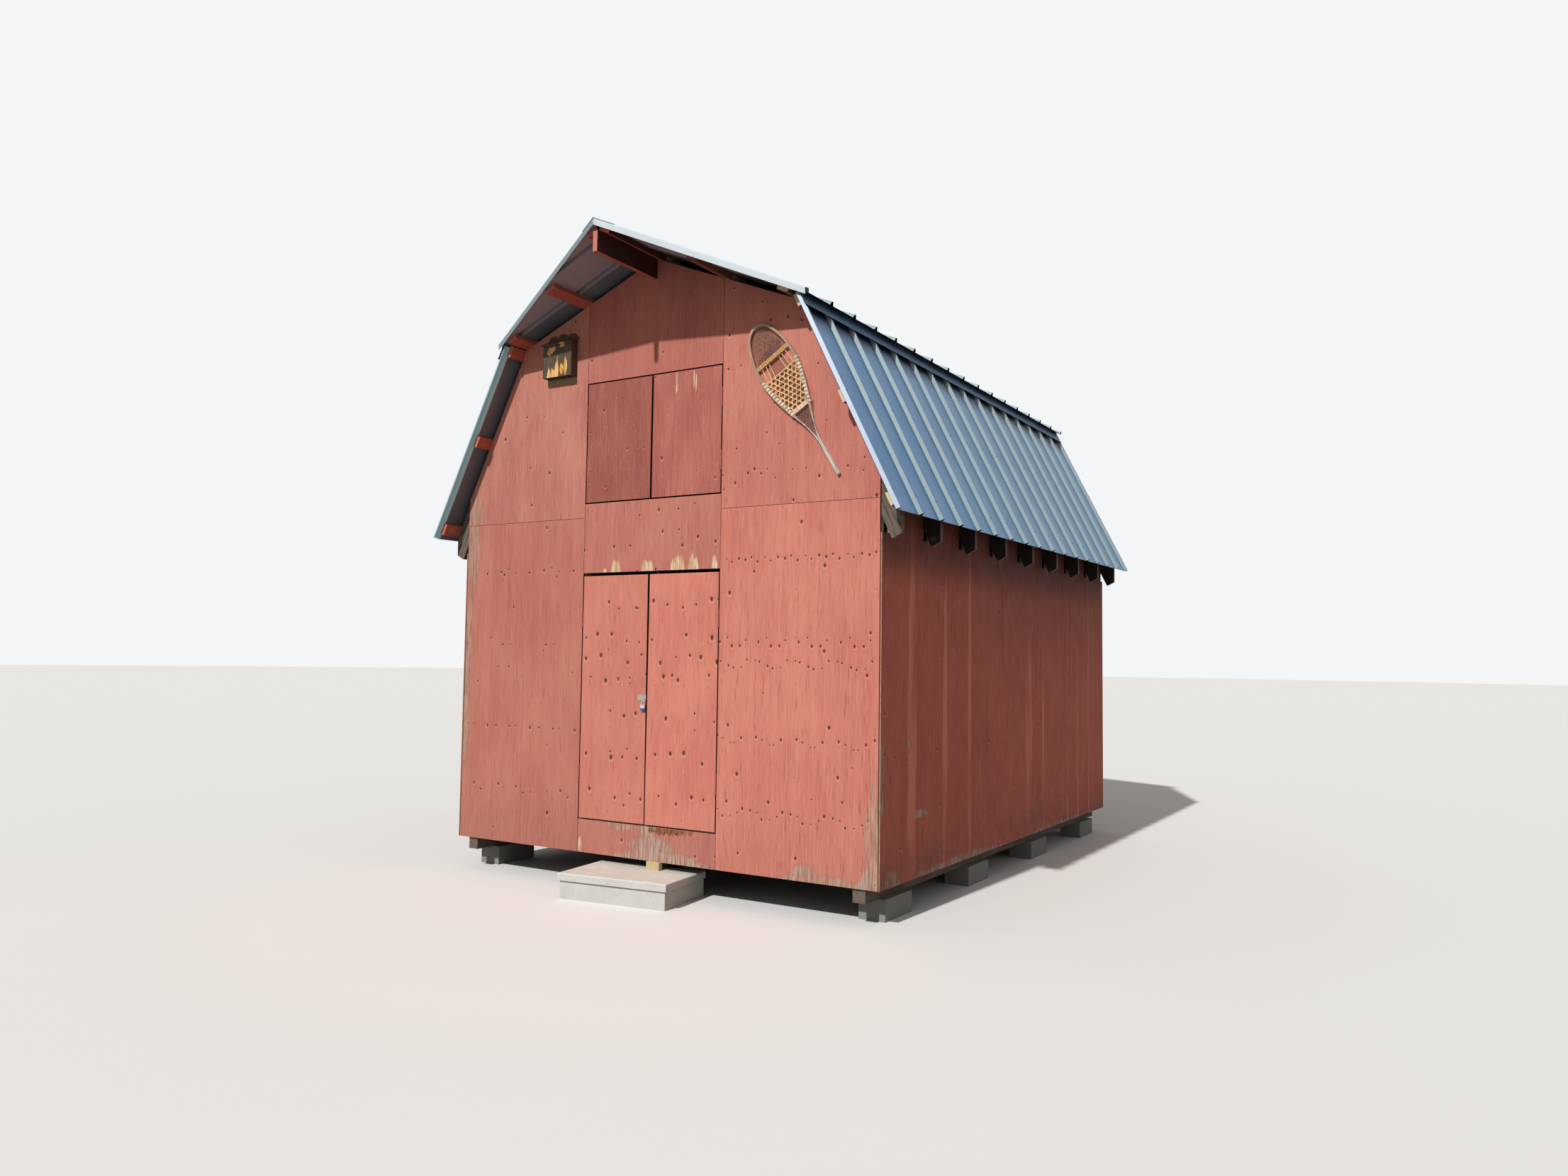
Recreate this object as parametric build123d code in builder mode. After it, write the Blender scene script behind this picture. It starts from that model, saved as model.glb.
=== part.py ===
"""A small gambrel-roofed barn shed, twelve feet wide and sixteen deep, with a loft.

Millimetres, +Z up. The front looks towards -Y, X runs along the front wall. The origin is
on the ground, in the middle of the roof's plan.
"""
import os
from math import cos, radians, sin, tan

from build123d import *

# Sheet goods and sawn timber
sheet_width = 1219.2
sheet_height = 2438.4
sheathing = 15.0
lumber = 38.0
stud_depth = 89.0
joist_depth = 184.0
deck_thickness = 18.0
seam_gap = 3.0
side_seam_reach = 1760.0
frame_spacing = 609.6
joist_spacing = 406.4

# Body
body_depth = 4877.0
plate_top_drop = 18.4
block_height = 141.0
block_length = 390.0
block_width = 190.0
skid_size = 89.0
skid_inset = 90.0
skid_rows = 4

# Roof
upper_pitch = 22.0
lower_pitch = 63.3
wall_line_rise = 203.6
apex_rise = 1855.6
lower_rafter_depth = 140.0
upper_rafter_depth = 89.0
tail_reach = 142.0
tail_tip_inset = 66.0
tail_notch_depth = 216.0
cut_clearance = 1.0
eave_reach = 198.0
eave_overhang_front = 184.0
ridge_overhang_front = 680.0
back_overhang = 190.0
ridge_beam_depth = 140.0
purlin_setback = 28.0
lower_purlin_setback = 45.0
gusset_reach = 270.0
gusset_thickness = 12.0
steel = 1.0
rib_height = 25.0
rib_base = 45.0
rib_crown = 20.0
rib_pitch = 327.0
edge_rib_inset = 24.0
knee_lap = 90.0
upper_sheet_start = 3.0
lower_sheet_start = 40.0
ridge_purlin_start = 6.0
trim_face = 45.0
trim_cover = 55.0
trim_bend = 10.0
trim_tuck = 14.0
mitre_allowance = 60.0
flashing_drop = 108.0
flashing_return = 42.0
flashing_lip = 13.0
cap_width = 150.0

# Doors
door_sill_above_foot = 242.0
door_head_above_foot = 2018.0
loft_sill_rise = 109.6
loft_head_rise = 1004.6
side_gap = 10.0
sill_gap = 11.0
head_gap = 24.0
meeting_gap_top = 18.0
meeting_gap_foot = 9.0
loft_gap = 11.0
loft_meeting_gap = 17.0
ledge_width = 89.0
ledge_inset = 30.0
loft_batten = 19.0

# Hinges, the odd knuckles on the jamb's leaf and the even ones on the door's
hinge_height = 127.0
knuckle_count = 3
hinge_radius = 6.0
hinge_pin_radius = 2.6
hinge_pin_play = 0.08
hinge_leaf = 2.5
hinge_leaf_width = 36.0
hinge_proud = 5.0
knuckle_play = 0.6
lower_hinge_heights = (570.0, 1690.0)
loft_hinge_rises = (336.6, 776.6)

# Hasp and padlock on the left door
hasp_height = 1132.0
hasp_length = 74.0
hasp_width = 40.0
hasp_thickness = 3.0
hasp_clearance = 6.0
padlock_width = 38.0
padlock_body = 36.0
padlock_thickness = 18.0
padlock_bevel = 1.5
shackle_radius = 3.0
shackle_sides = 8
bow_radius = 11.0
bow_leg = 23.0
bow_play = 0.15
bow_root = 4.0
eye_reach = 16.0
eye_drop = 16.0
eye_hole_radius = 4.6
metal_rounding = 5.0

# Precast step, turned a little from square
step_width = 855.0
step_depth = 540.0
step_height = 175.0
step_lip = 50.0
step_lip_reach = 14.0
step_wall = 60.0
step_rounding = 9.0
step_turn = 7.0
step_front_x = 52.0
step_front_reach = 410.0
shim_x = (45.0, 155.0)
shim_reach = 22.0

# Bat box, high on the left
bat_box_x = -869.0
bat_box_rise = 1081.6
bat_box_width = 284.0
bat_box_height = 250.0
bat_box_depth = 68.0
bat_board = 12.0
bat_back_drop = 52.0
bat_lid_rise = 45.0
bat_lid_reach = 16.0
bat_crest_rise = 88.0
bat_crest_notch = 20.0
bat_hole_radius = 5.0

# Snowshoe, hung on the right with its tail down and outward
shoe_tail_x = 1539.0
shoe_tail_rise = 168.6
shoe_lean = 32.2
shoe_length = 1245.0
shoe_half_width = 158.0
shoe_tail_length = 248.0
shoe_stick = 21.0
shoe_thickness = 22.0
shoe_bar = 30.0
shoe_wide_reach = 860.0
shoe_shoulder_half = 118.0
shoe_shoulder_reach = 1130.0
toe_bar_reach = 970.0
heel_bar_reach = 547.0
heel_bar_half = 86.0

# Heights that follow the wall sheets' top, above the walls' foot
plate_top_above_foot = sheet_height - plate_top_drop
rafter_top_at_wall = sheet_height + wall_line_rise
rafter_apex_above_foot = sheet_height + apex_rise
loft_sill_above_foot = sheet_height + loft_sill_rise
loft_head_above_foot = sheet_height + loft_head_rise
loft_hinge_heights = [sheet_height + rise for rise in loft_hinge_rises]
bat_box_foot = sheet_height + bat_box_rise
shoe_tail_z = sheet_height + shoe_tail_rise

# Worked-out places
body_half = 1.5 * sheet_width
bay_half = 0.5 * sheet_width
foot_z = block_height + skid_size
front_y = (ridge_overhang_front - body_depth - back_overhang) / 2
back_y = front_y + body_depth
frame_front_y = front_y + sheathing
frame_back_y = back_y - sheathing
deck_z = foot_z + joist_depth
floor_z = deck_z + deck_thickness
plate_z = floor_z + lumber
plate_top_z = foot_z + plate_top_above_foot
loft_deck_z = plate_top_z + stud_depth
loft_floor_z = loft_deck_z + deck_thickness
door_sill_z = foot_z + door_sill_above_foot
door_head_z = foot_z + door_head_above_foot
loft_sill_z = foot_z + loft_sill_above_foot
loft_head_z = foot_z + loft_head_above_foot
sheet_top_z = foot_z + sheet_height
apex_z = foot_z + rafter_apex_above_foot
wall_line_z = foot_z + rafter_top_at_wall

upper_run, upper_fall = cos(radians(upper_pitch)), sin(radians(upper_pitch))
lower_run, lower_fall = cos(radians(lower_pitch)), sin(radians(lower_pitch))
upper_tan, lower_tan = tan(radians(upper_pitch)), tan(radians(lower_pitch))
knee_x = (wall_line_z + lower_tan * body_half - apex_z) / (lower_tan - upper_tan)
knee_z = apex_z - upper_tan * knee_x
half_bend = radians((lower_pitch - upper_pitch) / 2)
mitre_angle = radians((lower_pitch + upper_pitch) / 2)
skin_rise = lumber

# The planes that the steel's underside lies in, as heights at the middle and at the wall
skin_apex_z = apex_z + skin_rise / upper_run
skin_wall_z = wall_line_z + skin_rise / lower_run
skin_knee_x = (skin_wall_z + lower_tan * body_half - skin_apex_z) / (lower_tan - upper_tan)
skin_knee_z = skin_apex_z - upper_tan * skin_knee_x
eave_x = body_half + eave_reach
roof_front_eave_y = front_y - eave_overhang_front
roof_front_ridge_y = front_y - ridge_overhang_front
roof_back_y = back_y + back_overhang

rafter_ys = [frame_front_y]
while front_y + frame_spacing * len(rafter_ys) < frame_back_y - frame_spacing / 2:
    rafter_ys.append(front_y + frame_spacing * len(rafter_ys))
rafter_ys.append(frame_back_y - lumber)


def upper_top(x):
    """Height of the upper rafters' top edge."""
    return apex_z - upper_tan * x


def lower_top(x):
    """Height of the lower rafters' top edge."""
    return wall_line_z + lower_tan * (body_half - x)


def upper_under(x):
    """Height of the upper rafters' lower edge."""
    return upper_top(x) - upper_rafter_depth / upper_run


def lower_under(x):
    """Height of the lower rafters' lower edge."""
    return lower_top(x) - lower_rafter_depth / lower_run


def block_between(xs, ys, zs, mode=Mode.ADD):
    """A block from its low and high places along each axis."""
    with Locations((sum(xs) / 2, sum(ys) / 2, sum(zs) / 2)):
        Box(xs[1] - xs[0], ys[1] - ys[0], zs[1] - zs[0], mode=mode)


def both_sides(xs):
    """The span and its mirror image about the ridge line."""
    return (xs, (-xs[1], -xs[0]))


def facing_plane(y):
    """An upright plane across the shed: X to the right, Z up."""
    return Plane.XZ.offset(-y)


def upright_plate(outline, y, thickness):
    """A plate cut to an outline of X and Z, from y back through its thickness."""
    with BuildSketch(facing_plane(y)) as face:
        with BuildLine():
            Polyline(*outline, close=True)
        make_face()
    extrude(face.sketch, amount=-thickness)


def plate_pair(outline, y, thickness):
    """The same plate on the right and, mirrored, on the left."""
    upright_plate(outline, y, thickness)
    upright_plate([(-x, z) for x, z in outline], y, thickness)


def save(piece, name):
    """Labels a finished piece and writes it."""
    piece.part.label = name
    export_step(piece.part, f"parts/{name}.step")


os.makedirs("parts", exist_ok=True)

# Foundation: concrete blocks in rows, timber skids on them
skid_x = body_half - skid_inset - skid_size / 2
step_back_y = front_y - step_front_reach + step_depth
middle_skid_y = step_back_y + skid_size
with BuildPart() as foundation_blocks:
    row_gap = (body_depth - 2 * block_length) / (skid_rows - 1)
    for row in range(skid_rows):
        row_y = front_y + block_length + row * row_gap
        for column_x in (-skid_x, 0, skid_x):
            with Locations((column_x, row_y, block_height / 2)):
                Box(block_width, block_length, block_height)
save(foundation_blocks, "foundation_blocks")

with BuildPart() as floor_skids:
    for column_x, skid_front in ((-skid_x, frame_front_y), (0, middle_skid_y), (skid_x, frame_front_y)):
        block_between(
            (column_x - skid_size / 2, column_x + skid_size / 2),
            (skid_front, frame_back_y),
            (block_height, foot_z),
        )
save(floor_skids, "floor_skids")

# Floor frame: rims along the sides, joists across
with BuildPart() as floor_frame:
    for rim in both_sides((body_half - lumber, body_half)):
        block_between(rim, (frame_front_y, frame_back_y), (foot_z, deck_z))
    joist_y = frame_front_y
    while joist_y < frame_back_y - joist_spacing / 2:
        block_between((lumber - body_half, body_half - lumber), (joist_y, joist_y + lumber), (foot_z, deck_z))
        joist_y += joist_spacing
    block_between(
        (lumber - body_half, body_half - lumber), (frame_back_y - lumber, frame_back_y), (foot_z, deck_z)
    )
save(floor_frame, "floor_frame")

with BuildPart() as floor_deck:
    block_between((-body_half, body_half), (frame_front_y, frame_back_y), (deck_z, floor_z))
save(floor_deck, "floor_deck")

# Precast step: a lipped tread on hollow walls
turned_step = Plane(
    origin=(step_front_x, front_y - step_front_reach, 0),
    x_dir=(cos(radians(step_turn)), sin(radians(step_turn)), 0),
    z_dir=(0, 0, 1),
)
riser_width = step_width - 2 * step_lip_reach
riser_depth = step_depth - step_lip_reach
riser_y = step_lip_reach + riser_depth / 2
with BuildPart() as entry_step:
    with BuildSketch(turned_step):
        with Locations((0, riser_y)):
            Rectangle(riser_width, riser_depth)
    extrude(amount=step_height - step_lip / 2)
    with BuildSketch(turned_step.offset(step_height - step_lip)):
        with Locations((0, step_depth / 2)):
            Rectangle(step_width, step_depth)
    extrude(amount=step_lip)
    fillet(entry_step.faces().sort_by(Axis.Z)[-1].edges(), step_rounding)
    with BuildSketch(turned_step):
        with Locations((0, riser_y)):
            Rectangle(riser_width - 2 * step_wall, riser_depth - 2 * step_wall)
    extrude(amount=step_height - step_lip, mode=Mode.SUBTRACT)
save(entry_step, "entry_step")

with BuildPart() as step_shim:
    block_between(shim_x, (front_y - shim_reach, frame_front_y), (step_height, foot_z))
save(step_shim, "step_shim")


def front_sheet(outline, y=None):
    """A flat sheet of sheathing cut to an outline of X and Z, its outer face at y."""
    upright_plate(outline, front_y if y is None else y, sheathing)


# Front sheathing: full sheets left and right, strips above and below the doors
bay_edge = bay_half + side_gap / 2
seam_x = bay_half + seam_gap / 2
with BuildPart() as front_wall_left:
    block_between((-body_half, -bay_edge), (front_y, frame_front_y), (foot_z, sheet_top_z))
save(front_wall_left, "front_wall_left")

with BuildPart() as front_wall_right:
    block_between((bay_edge, body_half), (front_y, frame_front_y), (foot_z, sheet_top_z))
save(front_wall_right, "front_wall_right")

strip_half = bay_edge - seam_gap
head_strip_z = door_head_z + head_gap / 2
with BuildPart() as front_door_panels:
    block_between((-strip_half, strip_half), (front_y, frame_front_y), (foot_z, door_sill_z - sill_gap / 2))
    block_between(
        (-strip_half, strip_half), (front_y, frame_front_y), (head_strip_z, loft_sill_z - loft_gap / 2)
    )
save(front_door_panels, "front_door_panels")

gable_foot_z = sheet_top_z + seam_gap
with BuildPart() as front_gable_right:
    front_sheet(
        [
            (bay_edge, gable_foot_z),
            (body_half, gable_foot_z),
            (body_half, lower_top(body_half)),
            (knee_x, knee_z),
            (bay_edge, upper_top(bay_edge)),
        ]
    )
save(front_gable_right, "front_gable_right")

with BuildPart() as front_gable_left:
    mirror(front_gable_right.part, about=Plane.YZ)
save(front_gable_left, "front_gable_left")

ridge_top_z = upper_top(lumber / 2) - seam_gap * 2
ridge_foot_z = ridge_top_z - ridge_beam_depth
beam_slot = lumber / 2 + seam_gap / 2
with BuildPart() as front_gable_top:
    front_sheet(
        [
            (-strip_half, loft_head_z + loft_gap / 2),
            (strip_half, loft_head_z + loft_gap / 2),
            (strip_half, upper_top(strip_half)),
            (beam_slot, upper_top(beam_slot)),
            (beam_slot, ridge_foot_z),
            (-beam_slot, ridge_foot_z),
            (-beam_slot, upper_top(beam_slot)),
            (-strip_half, upper_top(strip_half)),
        ]
    )
save(front_gable_top, "front_gable_top")

# Studs behind the front sheathing; those in the gable lie flat under the rafters
gable_back_y = frame_front_y + lumber
stud_back_y = frame_front_y + stud_depth
stud_top_z = plate_top_z - 2 * lumber
side_frame_x = body_half - stud_depth
header_z = door_head_z + head_gap / 2
quarter_x = sheet_width


def gable_stud_outline(inner_x, under):
    """A flat stud from the plate up to the rafters' lower edge."""
    outer_x = inner_x + stud_depth
    return [
        (inner_x, plate_top_z),
        (outer_x, plate_top_z),
        (outer_x, under(outer_x)),
        (inner_x, under(inner_x)),
    ]


with BuildPart() as front_wall_studs:
    for inner_x in (bay_edge, quarter_x - lumber / 2, side_frame_x - lumber):
        for span in both_sides((inner_x, inner_x + lumber)):
            block_between(span, (frame_front_y, stud_back_y), (plate_z, stud_top_z))
    for inner_x, under in (
        (bay_edge, upper_under),
        (quarter_x - 2 * stud_depth, upper_under),
        (quarter_x + 2 * stud_depth, lower_under),
    ):
        plate_pair(gable_stud_outline(inner_x, under), frame_front_y, lumber)
save(front_wall_studs, "front_wall_studs")

# Plates, the doors' header and the loft doorway's sill and header
with BuildPart() as front_wall_plates:
    block_between((-side_frame_x, side_frame_x), (frame_front_y, stud_back_y), (floor_z, plate_z))
    block_between((-side_frame_x, side_frame_x), (frame_front_y, stud_back_y), (stud_top_z, plate_top_z))
    block_between((-bay_edge, bay_edge), (frame_front_y, stud_back_y), (header_z, header_z + stud_depth))
    loft_header_z = loft_head_z + loft_gap / 2
    block_between(
        (-bay_edge, bay_edge), (frame_front_y, gable_back_y), (loft_header_z, loft_header_z + stud_depth)
    )
    block_between((-bay_edge, bay_edge), (frame_front_y, gable_back_y), (plate_top_z, loft_floor_z))
save(front_wall_plates, "front_wall_plates")

# Side sheathing, notched at its top edge round every rafter tail
side_seam_y = front_y + side_seam_reach
notch_foot_z = sheet_top_z - tail_notch_depth
notch_width = 2 * lumber
with BuildPart() as right_wall:
    side_span = (body_half, body_half + sheathing)
    block_between(side_span, (front_y, side_seam_y), (foot_z, sheet_top_z))
    block_between(side_span, (side_seam_y + seam_gap, back_y), (foot_z, sheet_top_z))
    for rafter_y in rafter_ys:
        notch = (rafter_y - cut_clearance, rafter_y + notch_width)
        if rafter_y == rafter_ys[0]:
            notch = (front_y, rafter_y + notch_width)
        if rafter_y == rafter_ys[-1]:
            notch = (rafter_y - cut_clearance, back_y)
        block_between(side_span, notch, (notch_foot_z, sheet_top_z), mode=Mode.SUBTRACT)
save(right_wall, "right_wall")

with BuildPart() as left_wall:
    mirror(right_wall.part, about=Plane.YZ)
save(left_wall, "left_wall")

with BuildPart() as side_wall_frames:
    for span in both_sides((side_frame_x, body_half)):
        block_between(span, (frame_front_y, frame_back_y), (floor_z, plate_z))
        block_between(span, (frame_front_y, frame_back_y), (stud_top_z, plate_top_z))
        for rafter_y in rafter_ys:
            block_between(span, (rafter_y, rafter_y + lumber), (plate_z, stud_top_z))
save(side_wall_frames, "side_wall_frames")

# Back wall: three full sheets and a gable over them
back_face_y = back_y - sheathing
with BuildPart() as back_wall:
    for span in ((-body_half, -seam_x), (seam_gap - seam_x, seam_x - seam_gap), (seam_x, body_half)):
        block_between(span, (back_face_y, back_y), (foot_z, sheet_top_z))
    front_sheet(
        [
            (-body_half, gable_foot_z),
            (body_half, gable_foot_z),
            (body_half, lower_top(body_half)),
            (knee_x, knee_z),
            (beam_slot, upper_top(beam_slot)),
            (beam_slot, ridge_foot_z),
            (-beam_slot, ridge_foot_z),
            (-beam_slot, upper_top(beam_slot)),
            (-knee_x, knee_z),
            (-body_half, lower_top(body_half)),
        ],
        back_face_y,
    )
save(back_wall, "back_wall")

back_stud_y = frame_back_y - stud_depth
with BuildPart() as back_wall_frame:
    block_between((-side_frame_x, side_frame_x), (back_stud_y, frame_back_y), (floor_z, plate_z))
    block_between((-side_frame_x, side_frame_x), (back_stud_y, frame_back_y), (stud_top_z, plate_top_z))
    for centre_x in (-2 * bay_half, -bay_half, 0, bay_half, 2 * bay_half):
        block_between(
            (centre_x - lumber / 2, centre_x + lumber / 2), (back_stud_y, frame_back_y), (plate_z, stud_top_z)
        )
    for inner_x, under in ((bay_edge, upper_under), (quarter_x + 2 * stud_depth, lower_under)):
        plate_pair(gable_stud_outline(inner_x, under), frame_back_y - lumber, lumber)
save(back_wall_frame, "back_wall_frame")

# Loft: joists on the plates beside the rafters, deck between the lower rafters
with BuildPart() as loft_joists:
    for rafter_y in rafter_ys:
        joist_front = rafter_y + lumber if rafter_y != rafter_ys[-1] else rafter_y - lumber
        block_between(
            (-body_half, body_half), (joist_front, joist_front + lumber), (plate_top_z, loft_deck_z)
        )
save(loft_joists, "loft_joists")

loft_edge_x = body_half - (loft_floor_z - lower_under(body_half)) / lower_tan - seam_gap
with BuildPart() as loft_floor:
    block_between(
        (-loft_edge_x, loft_edge_x), (gable_back_y, frame_back_y - lumber), (loft_deck_z, loft_floor_z)
    )
save(loft_floor, "loft_floor")

# Lower rafters, mitred at the knee, notched over the plate, with a square-cut tail
tail_x = body_half + tail_reach
tip_x = tail_x - tail_tip_inset
end_cut_z = lower_under(tip_x) + (tail_x - tip_x) * lower_run / lower_fall
seat_inner_x = body_half - (plate_top_z - lower_under(body_half)) / lower_tan
mitre = lower_rafter_depth / cos(half_bend)
lower_profile = [
    (knee_x, knee_z),
    (tail_x, lower_top(tail_x)),
    (tail_x, end_cut_z),
    (tip_x, lower_under(tip_x)),
    (body_half, lower_under(body_half)),
    (body_half, plate_top_z),
    (seat_inner_x, plate_top_z),
    (knee_x - mitre * sin(mitre_angle), knee_z - mitre * cos(mitre_angle)),
]
with BuildPart() as lower_rafters:
    for rafter_y in rafter_ys:
        plate_pair(lower_profile, rafter_y, lumber)
save(lower_rafters, "lower_rafters")

upper_mitre = upper_rafter_depth / cos(half_bend)
beam_side = lumber / 2
upper_profile = [
    (beam_side, upper_top(beam_side)),
    (knee_x, knee_z),
    (knee_x - upper_mitre * sin(mitre_angle), knee_z - upper_mitre * cos(mitre_angle)),
    (beam_side, upper_under(beam_side)),
]
with BuildPart() as upper_rafters:
    for rafter_y in rafter_ys:
        plate_pair(upper_profile, rafter_y, lumber)
save(upper_rafters, "upper_rafters")

# Plywood gussets across the knee joints, on the rafters' back faces
gusset_profile = [
    (knee_x, knee_z),
    (knee_x + gusset_reach * lower_run, knee_z - gusset_reach * lower_fall),
    (
        knee_x + gusset_reach * lower_run - lower_rafter_depth * lower_fall,
        knee_z - gusset_reach * lower_fall - lower_rafter_depth * lower_run,
    ),
    (
        knee_x - gusset_reach * upper_run - upper_rafter_depth * upper_fall,
        knee_z + gusset_reach * upper_fall - upper_rafter_depth * upper_run,
    ),
    (knee_x - gusset_reach * upper_run, knee_z + gusset_reach * upper_fall),
]
with BuildPart() as rafter_gussets:
    for rafter_y in rafter_ys:
        gusset_y = rafter_y + lumber if rafter_y != rafter_ys[-1] else rafter_y - gusset_thickness
        plate_pair(gusset_profile, gusset_y, gusset_thickness)
save(rafter_gussets, "rafter_gussets")

# Ridge beam and purlins, which carry the steel past the front wall
prow_run = skin_knee_x + knee_lap
prow_back = roof_front_eave_y - roof_front_ridge_y


def roof_edge_y(x):
    """How far forward the upper roof's edge stands at a distance from the ridge."""
    return roof_front_ridge_y + prow_back * x / prow_run


purlin_back_y = roof_back_y - purlin_setback
with BuildPart() as ridge_beam:
    beam_ys = (roof_front_ridge_y + purlin_setback, purlin_back_y)
    block_between((-beam_side, beam_side), beam_ys, (ridge_foot_z, ridge_top_z))
save(ridge_beam, "ridge_beam")

upper_length = knee_x / upper_run
lower_length = (tail_x - knee_x) / lower_run
purlin_width = stud_depth
upper_starts = [
    ridge_purlin_start,
    (upper_length - purlin_width) / 2,
    upper_length - purlin_width - ridge_purlin_start,
]
lower_starts = [ridge_purlin_start, (lower_length - purlin_width) / 2, lower_length - purlin_width]


def purlin_outline(near, run, fall):
    """A purlin lying flat on a slope, from its upper edge down."""
    far = (near[0] + purlin_width * run, near[1] - purlin_width * fall)
    rise = (lumber * fall, lumber * run)
    return [near, far, (far[0] + rise[0], far[1] + rise[1]), (near[0] + rise[0], near[1] + rise[1])]


with BuildPart() as roof_purlins:
    for start in upper_starts:
        outline = purlin_outline((start * upper_run, apex_z - start * upper_fall), upper_run, upper_fall)
        purlin_front_y = roof_edge_y((start + purlin_width) * upper_run) + purlin_setback
        plate_pair(outline, purlin_front_y, purlin_back_y - purlin_front_y)
    purlin_front_y = roof_front_eave_y + lower_purlin_setback
    for start in lower_starts:
        near = (knee_x + start * lower_run, knee_z - start * lower_fall)
        plate_pair(
            purlin_outline(near, lower_run, lower_fall), purlin_front_y, purlin_back_y - purlin_front_y
        )
save(roof_purlins, "roof_purlins")

# Ribbed steel: one folded section, drawn along Y and drawn out down each slope. The lower
# sheets' ends are bare ribs.
first_rib_y = roof_front_eave_y + edge_rib_inset
last_rib_y = roof_back_y - edge_rib_inset
rib_count = round((last_rib_y - first_rib_y) / rib_pitch)
true_pitch = (last_rib_y - first_rib_y) / rib_count


def ribbed_outline(start_y, stations):
    """The section of a sheet, along Y and out from the sheet's underside."""
    fold = steel * ((rib_base - rib_crown) / 2) / (rib_height + steel)
    top = [(start_y, steel)]
    under = [(start_y, 0)]
    for rib_y in stations:
        top += [
            (rib_y - rib_base / 2, steel),
            (rib_y - rib_crown / 2, steel + rib_height),
            (rib_y + rib_crown / 2, steel + rib_height),
            (rib_y + rib_base / 2, steel),
        ]
        under += [
            (rib_y - rib_base / 2 + fold + steel / 2, 0),
            (rib_y - rib_crown / 2 + fold + steel / 2, rib_height),
            (rib_y + rib_crown / 2 - fold - steel / 2, rib_height),
            (rib_y + rib_base / 2 - fold - steel / 2, 0),
        ]
    top.append((roof_back_y, steel))
    under.append((roof_back_y, 0))
    return top + under[::-1]


rib_stations = [first_rib_y + true_pitch * k for k in range(rib_count + 1)]
lower_sheet_length = (eave_x - skin_knee_x) / lower_run - lower_sheet_start
lower_sheet_plane = Plane(
    origin=(skin_knee_x + lower_sheet_start * lower_run, 0, skin_knee_z - lower_sheet_start * lower_fall),
    x_dir=(0, 1, 0),
    z_dir=(lower_run, 0, -lower_fall),
)
with BuildPart() as lower_roof_right:
    with BuildSketch(lower_sheet_plane):
        with BuildLine():
            Polyline(*ribbed_outline(roof_front_eave_y, rib_stations), close=True)
        make_face()
    extrude(amount=lower_sheet_length)
save(lower_roof_right, "lower_roof_right")

with BuildPart() as lower_roof_left:
    mirror(lower_roof_right.part, about=Plane.YZ)
save(lower_roof_left, "lower_roof_left")

# The upper sheets run out to a point over the front gable
upper_sheet_length = (skin_knee_x + knee_lap) / upper_run - upper_sheet_start
upper_sheet_plane = Plane(
    origin=(upper_sheet_start * upper_run, 0, skin_apex_z - upper_sheet_start * upper_fall),
    x_dir=(0, 1, 0),
    z_dir=(upper_run, 0, -upper_fall),
)
prow_stations = [first_rib_y - true_pitch] + rib_stations
prow_face = Plane(
    origin=(0, roof_front_ridge_y, 0),
    x_dir=(prow_run, prow_back, 0),
    z_dir=(-prow_back, prow_run, 0),
)
with BuildPart() as upper_roof_right:
    with BuildSketch(upper_sheet_plane):
        with BuildLine():
            Polyline(*ribbed_outline(roof_front_ridge_y, prow_stations), close=True)
        make_face()
    extrude(amount=upper_sheet_length)
    split(bisect_by=prow_face.offset(trim_tuck), keep=Keep.TOP)
save(upper_roof_right, "upper_roof_right")

with BuildPart() as upper_roof_left:
    mirror(upper_roof_right.part, about=Plane.YZ)
save(upper_roof_left, "upper_roof_left")

# Ridge cap, resting on the trims that lie on the ribs' crowns, its front cut to the prow
crown_rise = rib_height + steel
cap_apex_z = skin_apex_z + (crown_rise + steel) / upper_run
cap_x = cap_width * upper_run
with BuildPart() as cap_wing:
    upright_plate(
        [
            (0, cap_apex_z),
            (cap_x, cap_apex_z - cap_x * upper_tan),
            (cap_x, cap_apex_z - cap_x * upper_tan + steel / upper_run),
            (0, cap_apex_z + steel / upper_run),
        ],
        roof_front_ridge_y,
        roof_back_y - roof_front_ridge_y,
    )
    split(bisect_by=prow_face, keep=Keep.TOP)
with BuildPart() as ridge_cap:
    add(cap_wing.part)
    mirror(cap_wing.part, about=Plane.YZ)
save(ridge_cap, "ridge_cap")

# Knee flashing: lies on the lower ribs and turns in under the upper sheets
crown_x = skin_knee_x + crown_rise * lower_fall
crown_z = skin_knee_z + crown_rise * lower_run
slide = (crown_z - (skin_apex_z - upper_tan * crown_x)) / (lower_fall - upper_tan * lower_run)
bend_x = crown_x + slide * lower_run
bend_z = crown_z - slide * lower_fall
leg_x, leg_z = flashing_drop * lower_run, -flashing_drop * lower_fall
out_x, out_z = steel * lower_fall, steel * lower_run
turn = steel / sin(2 * half_bend)
flashing_profile = [
    (bend_x - flashing_return * upper_run, bend_z + flashing_return * upper_fall),
    (bend_x + turn * upper_run, bend_z - turn * upper_fall),
    (bend_x + leg_x + out_x, bend_z + leg_z + out_z),
    (bend_x + leg_x + out_x + flashing_lip, bend_z + leg_z + out_z - flashing_lip),
    (bend_x + leg_x + flashing_lip, bend_z + leg_z - flashing_lip),
    (bend_x + leg_x, bend_z + leg_z),
    (bend_x + turn * lower_run, bend_z - turn * lower_fall),
    (bend_x - flashing_return * upper_run, bend_z + flashing_return * upper_fall - steel / upper_run),
]
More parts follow.
